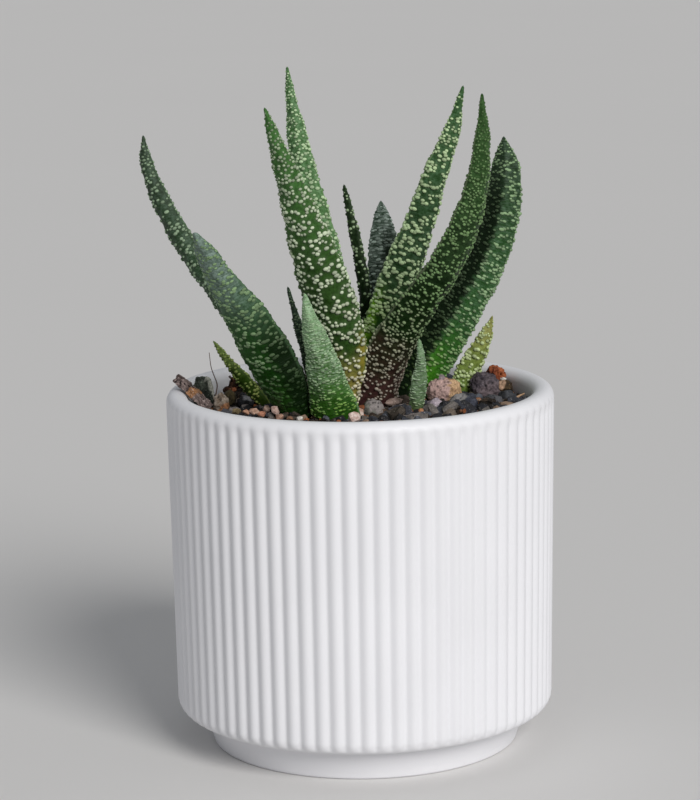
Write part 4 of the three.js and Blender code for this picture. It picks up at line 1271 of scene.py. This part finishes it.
def grit_tree():
    """Strews loose stones of many shapes over a surface, each with its own tone."""
    sizes = {"Spacing": 0.003, "Share": 1.0, "Least": 0.001, "Most": 0.003, "Lift": 0.2}
    tree, given, end = geometry_tree("Strewn gravel", sizes | {"Roughness": 0.3, "Seed": 0})

    def draw(offset, low, high):
        return chance(given["Seed"], offset, low, high)

    points, _ = strewn(given, 3.0e6, given["Share"])
    size = draw(1, given["Least"], given["Most"]) * kept(tree, "grit_size")
    points = tag(points, "tone", draw(2, 0.0, 1.0))
    points = tag(points, "grain", size)

    corners = {"Vertices X": 3, "Vertices Y": 3, "Vertices Z": 3}
    block = wire(tree, "GeometryNodeMeshCube", corners, give="Mesh")
    spot = position(tree)
    ball = vector("SCALE", vector("NORMALIZE", spot), Scale=0.55)
    stone = moved(block, "Position", mix(0.7, spot, ball, "VECTOR"))
    turn = triple(draw(3, -0.6, 0.6), draw(4, -0.6, 0.6), draw(5, 0.0, 6.283))
    grain_size = kept(tree, "grain")
    spread = (draw(6, 0.9, 1.4), draw(7, 0.75, 1.05), draw(8, 0.5, 0.9))
    scale = triple(*(grain_size * part for part in spread))
    solid = realized(on_points(points, stone, turn, scale))

    inputs = {"Vector": position(tree), "Scale": 420.0, "Detail": 2.0}
    noise_colour = wire(tree, "ShaderNodeTexNoise", inputs, give="Color")
    centred = vector("SUBTRACT", noise_colour, (0.5, 0.5, 0.5))
    knocked = vector("SCALE", centred, Scale=grain_size * given["Roughness"] * 2.0)
    raised = triple(0.0, 0.0, grain_size * given["Lift"])
    shaped = moved(solid, "Offset", vector("ADD", knocked, raised))
    flat = wire(tree, "GeometryNodeSetShadeSmooth", {"Geometry": shaped, "Shade Smooth": False})
    return close_tree(end, flat, given["Material"])


def cut_top_finer(shape):
    """Divides the faces of the soil's top."""
    shape.normal_update()
    top = [
        face
        for face in shape.faces
        if face.calc_center_median().z > TOP_FACES_FROM * MM and face.normal.z > FACES_UP
    ]
    edges = list({edge for face in top for edge in face.edges})
    bmesh.ops.subdivide_edges(shape, edges=edges, cuts=2, use_grid_fill=True)
    bmesh.ops.triangulate(shape, faces=[face for face in shape.faces if len(face.verts) > 3])


def room_round(points, node):
    """How far each point lies outside the CAD node's oval outline, seen from above."""
    corners, _ = points_and_normals(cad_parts[node].data)
    low, high = corners.min(axis=0), corners.max(axis=0)
    away = (points - (low + high) / 2)[:, :2] / ((high - low) / 2)[:2]
    return (np.hypot(away[:, 0], away[:, 1]) - 1) * ((high - low)[:2].mean() / 2)


def soil_ground():
    """The CAD soil with a finer, crumbly top, and where grit may lie on it."""
    mesh = reshaped(cad_copy("soil"), cut_top_finer)
    points, normals = points_and_normals(mesh)
    x, y, z = points.T
    inner = (normals[:, 2] > POINTS_UP) & (z > TOP_POINTS_FROM) & (np.hypot(x, y) < TOP_RADIUS)
    for i in np.nonzero(inner)[0]:
        spot = Vector(points[i].tolist())
        points[i, 2] += CRUMB_HEIGHT * noise.fractal(spot * 0.9, 0.8, 2.0, 3)
    move_points(mesh, points)
    room = np.min([room_round(points, node) for node in (*STONES, *BARK_PIECES)], axis=0)
    west, east, south = BARE_SPOT
    bare = (y < south) & (x > west) & (x < east)
    store(mesh, "coarse_share", inner * (room > COARSE_AWAY) * ~bare)
    store(mesh, "fine_share", inner * (room > FINE_AWAY))
    store(mesh, "grit_size", 0.68 + 0.4 * step(x, -12.0, 14.0))
    mesh.name = "soil_ground"
    return mesh


class GASTERIA_OT_soil(bpy.types.Operator):
    """Fills the pot with soil and strews gravel and grit on it"""

    bl_idname = "gasteria.soil"
    bl_label = "Soil and gravel"

    def execute(self, context):
        settings = context.scene.gasteria_soil
        mesh, tree = soil_ground(), grit_tree()
        ground = add_object("soil_ground", mesh)
        spacings = (settings.gravel_spacing, settings.grit_spacing)
        for (name, layer), spacing in zip(LAYERS.items(), spacings):
            share, kinds, least, most, lift, extra = layer
            values = {
                "Spacing": spacing,
                "Share": share,
                "Least": least * MM,
                "Most": most * MM,
                "Lift": lift,
                "Roughness": 0.34,
                "Seed": settings.seed + extra,
                "Material": gravel_material(name, kinds),
            }
            seat(grow(name, mesh.copy(), tree, values), "soil")
        earth = stone_material("potting soil", "33281f 120f0c 6e5a45", None, 520.0, 0.25, 0.3)
        mesh.materials.append(earth)
        seat(ground, "soil", "soil")
        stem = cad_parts["stem"].data.materials
        stem.clear()
        stem.append(stone_material("root flesh", "9a8f64 7c6d48 b8ad84", None, 300.0, 0.1))
        return {"FINISHED"}


# -------- stones, bark and litter

STONE_CELL, BARK_CELL = 0.22, 0.16
STONE_SWELL = 0.12  # how far a stone's surface moves out before it is roughened
PORE_REACH = 0.5
PATCH_EDGE, PATCH_END_EDGE = 0.25, 0.2
STRAND_RINGS, STRAND_SIDES, STRAND_TAPER = 8, 8, 0.5
CHIP_CORNERS, CHIP_SEED = 22, 60


def facing_patch(points, patch):
    """How much of the patch colour each point shows: by where it lies and a little noise."""
    _, direction, start, *end = patch
    middle = (points.min(axis=0) + points.max(axis=0)) / 2
    half = np.ptp(points, axis=0) / 2
    aim = np.array(direction) / np.linalg.norm(direction)
    ruffle = [0.35 * noise.noise(Vector(point) * 0.9) for point in points.tolist()]
    reached = ((points - middle) / half) @ aim + np.array(ruffle)
    share = step(reached, start, start + PATCH_EDGE)
    if end:
        share *= 1 - step(reached, end[0], end[0] + PATCH_END_EDGE)
    return share


def weather(piece, look):
    """Roughens a stone's surface with noise and sinks rounded pores in it."""
    points, normals = points_and_normals(piece.data)
    moved = points + STONE_SWELL * normals
    pits = np.zeros(len(points))
    for i, point in enumerate(points.tolist()):
        spot = Vector(point)
        push = look.relief * noise.fractal(spot * 0.55, 0.9, 2.1, 4)
        if look.pores:
            near = noise.voronoi(spot * 0.8)[0][0]
            pits[i] = max(0.0, 1 - near / PORE_REACH)
            push -= look.pores * pits[i]
        moved[i] += normals[i] * push
    move_points(piece.data, moved)
    if look.patch:
        store(piece.data, "patch", facing_patch(points, look.patch))
    store(piece.data, "pit", pits)


class GASTERIA_OT_stones(bpy.types.Operator):
    """Lays the larger stones on the soil"""

    bl_idname = "gasteria.stones"
    bl_label = "Stones"

    def execute(self, context):
        for name, look in STONES.items():
            piece = remeshed(name, name + "_stone", STONE_CELL)
            weather(piece, look)
            patch = look.patch[0] if look.patch else None
            piece.data.materials.append(stone_material(name, look.colours, patch))
            seat(piece, look.slot, name)
        return {"FINISHED"}


def fibrous(piece, look):
    """Splits bark along its grain: stretched noise, kept with the place along and across it."""
    points, normals = points_and_normals(piece.data)
    centred = points - points.mean(axis=0)
    along, wide = centred @ np.array(look.grain), centred @ np.array(look.across)
    moved = points.copy()
    pits = np.zeros(len(points))
    for i, normal in enumerate(normals):
        fibre = Vector((along[i] * 0.22, wide[i] * 1.5, float(points[i, 2]) * 0.6))
        push = noise.fractal(fibre, 0.7, 2.2, 4)
        flake = noise.noise(Vector((along[i] * 0.35, wide[i] * 0.6, 9.0)))
        pits[i] = max(0.0, noise.noise(Vector(points[i].tolist()) * 0.8) - look.holes) * 3
        raised = 0.7 if flake > 0.12 else 0.0
        moved[i] += normal * look.relief * (push + raised - 1.2 * pits[i])
    move_points(piece.data, moved)
    store(piece.data, "along", along * 0.1)
    store(piece.data, "across", wide * 0.1)
    store(piece.data, "pit", np.minimum(1, 1.5 * pits))
    store(piece.data, "patch", facing_patch(points, look.patch))


class GASTERIA_OT_bark(bpy.types.Operator):
    """Splits the bark that lies by the wall"""

    bl_idname = "gasteria.bark"
    bl_label = "Bark"

    def execute(self, context):
        for node, look in BARK_PIECES.items():
            piece = remeshed(node, look.piece, BARK_CELL)
            fibrous(piece, look)
            piece.data.materials.append(bark_material(node, look.colours, look.patch[0]))
            seat(piece, look.slot, node)
        return {"FINISHED"}


def strand(name, points, radius_mm):
    """A thin round strand through points, closed at both ends."""
    shares = np.linspace(0, 1, STRAND_RINGS * len(points))
    line = along_stations(points, shares)
    tangent = unit(np.gradient(line, axis=0))
    side = unit(np.cross(tangent, (0.31, 0.87, 0.2)))
    other = np.cross(tangent, side)
    turn = even_turn(STRAND_SIDES)[None, :, None]
    size = radius_mm * (1 - (1 - STRAND_TAPER) * shares)[:, None, None]
    rings = line[:, None] + size * (side[:, None] * np.cos(turn) + other[:, None] * np.sin(turn))
    return closed_rings(name, rings, line[0] - tangent[0] * 0.05, line[-1] + tangent[-1] * 0.05)


def chip(name, centre, half, turn, seed):
    """A small angular chip: the hull of random corners on an oval."""
    draw = random.Random(seed)
    spin = Matrix.Rotation(math.radians(turn), 3, "Z")

    def fill_hull(shape):
        for _ in range(CHIP_CORNERS):
            corner = Vector(draw.gauss(0, 1) for _ in range(3)).normalized()
            sized = Vector(part * reach for part, reach in zip(corner, half))
            shape.verts.new((spin @ sized + Vector(centre)) * MM)
        bmesh.ops.convex_hull(shape, input=shape.verts)
        bmesh.ops.recalc_face_normals(shape, faces=shape.faces)

    return reshaped(bpy.data.meshes.new(name), fill_hull)


class GASTERIA_OT_litter(bpy.types.Operator):
    """Adds a root hair, a bit of straw and small loose chips"""

    bl_idname = "gasteria.litter"
    bl_label = "Litter"

    def execute(self, context):
        for name, (points, radius, colours) in STRANDS.items():
            piece = add_object(name, strand(name, points, radius))
            piece.data.materials.append(plain_fibre(name, colours))
            seat(piece, "bark")
        for number, (centre, half, turn, colours) in enumerate(CHIPS):
            name = f"chip_{number + 1:02d}"
            piece = add_object(name, chip(name, centre, half, turn, CHIP_SEED + number))
            piece.data.materials.append(stone_material(name, colours, scale=700.0))
            seat(piece, "stone_cream")
        return {"FINISHED"}


# -------- stage

FLOOR_REACH, LAMP_DISTANCE, VIEW_DISTANCE = 15.0, 0.8, 0.8
LIGHT_WAY = Vector((-0.42, 0.735, -0.53))
LIGHT_COLOUR, SKY_COLOUR = (1.0, 0.985, 0.965), (0.93, 0.96, 1.0, 1.0)
VIEW_CENTRE = Vector((-2.88, 0, 98.21)) * MM
VIEW_ROLL = math.radians(-0.98)


class GASTERIA_OT_stage(bpy.types.Operator):
    """Sets the floor, the lights and the camera"""

    bl_idname = "gasteria.stage"
    bl_label = "Stage"

    def execute(self, context):
        scene = context.scene
        settings = scene.gasteria_stage
        self.floor(settings)
        self.lights(scene, settings)
        self.camera(scene, settings)
        scene.view_settings.view_transform = "Standard"
        return {"FINISHED"}

    def floor(self, settings):
        mesh = bpy.data.meshes.new("floor")
        r = FLOOR_REACH
        mesh.from_pydata([(-r, -r, 0), (r, -r, 0), (r, r, 0), (-r, r, 0)], [], [(0, 1, 2, 3)])
        floor = add_object("floor", mesh)
        tree, finish = principled("plain floor", Roughness=0.8, Specular_IOR_Level=0.1)
        cloudy = clouds(place(tree), 3.0)
        plain, darker = tinted(settings.floor), tinted(settings.floor, 0.985)
        mesh.materials.append(finish(mix(cloudy, plain, darker)))

    def lights(self, scene, settings):
        scene.world = world = bpy.data.worlds.new("studio")
        world.use_nodes = True
        background = world.node_tree.nodes["Background"]
        background.inputs["Color"].default_value = SKY_COLOUR
        background.inputs["Strength"].default_value = settings.sky
        lamp = bpy.data.lights.new("key light", "SUN")
        lamp.energy = settings.key_strength
        lamp.angle = settings.key_softness
        lamp.color = LIGHT_COLOUR
        holder = add_object("key light", lamp)
        holder.rotation_euler = LIGHT_WAY.to_track_quat("-Z", "Y").to_euler()
        holder.location = -LAMP_DISTANCE * LIGHT_WAY

    def camera(self, scene, settings):
        camera = bpy.data.cameras.new("camera")
        camera.lens = settings.focal_length
        camera.sensor_width = 36.0
        camera.clip_start = 0.05
        scene.camera = view = add_object("camera", camera)
        down = settings.elevation
        look = Vector((0, math.cos(down), -math.sin(down)))
        level = Vector((0, math.sin(down), math.cos(down)))
        across = Vector((1, 0, 0))
        right = math.cos(VIEW_ROLL) * across + math.sin(VIEW_ROLL) * level
        up = math.cos(VIEW_ROLL) * level - math.sin(VIEW_ROLL) * across
        turned = Matrix((right, up, -look)).transposed().to_4x4()
        view.matrix_world = Matrix.Translation(VIEW_CENTRE - VIEW_DISTANCE * look) @ turned


# -------- add-on

OPERATORS = (
    GASTERIA_OT_stage,
    GASTERIA_OT_pot,
    GASTERIA_OT_leaves,
    GASTERIA_OT_soil,
    GASTERIA_OT_stones,
    GASTERIA_OT_bark,
    GASTERIA_OT_litter,
)
SETTINGS = {
    "gasteria_pot": PotSettings,
    "gasteria_leaves": LeafSettings,
    "gasteria_soil": SoilSettings,
    "gasteria_stage": StageSettings,
}


class GASTERIA_PT_panel(bpy.types.Panel):
    """Lists the settings and the pieces in the 3D view's sidebar"""

    bl_label = "Potted Gasteria"
    bl_space_type = "VIEW_3D"
    bl_region_type = "UI"
    bl_category = "Gasteria"

    def draw(self, context):
        for name in SETTINGS:
            box = self.layout.box()
            group = getattr(context.scene, name)
            for label in group.__annotations__:
                box.prop(group, label)
        for operator in OPERATORS:
            self.layout.operator(operator.bl_idname)


CLASSES = (*SETTINGS.values(), *OPERATORS, GASTERIA_PT_panel)


def register():
    for cls in CLASSES:
        bpy.utils.register_class(cls)
    for name, group in SETTINGS.items():
        setattr(bpy.types.Scene, name, PointerProperty(type=group))


def unregister():
    for name in SETTINGS:
        delattr(bpy.types.Scene, name)
    for cls in reversed(CLASSES):
        bpy.utils.unregister_class(cls)


def main():
    register()
    bpy.ops.gasteria.stage()
    bpy.ops.gasteria.pot()
    bpy.ops.gasteria.leaves()
    bpy.ops.gasteria.soil()
    bpy.ops.gasteria.stones()
    bpy.ops.gasteria.bark()
    bpy.ops.gasteria.litter()


if __name__ == "__main__":
    main()
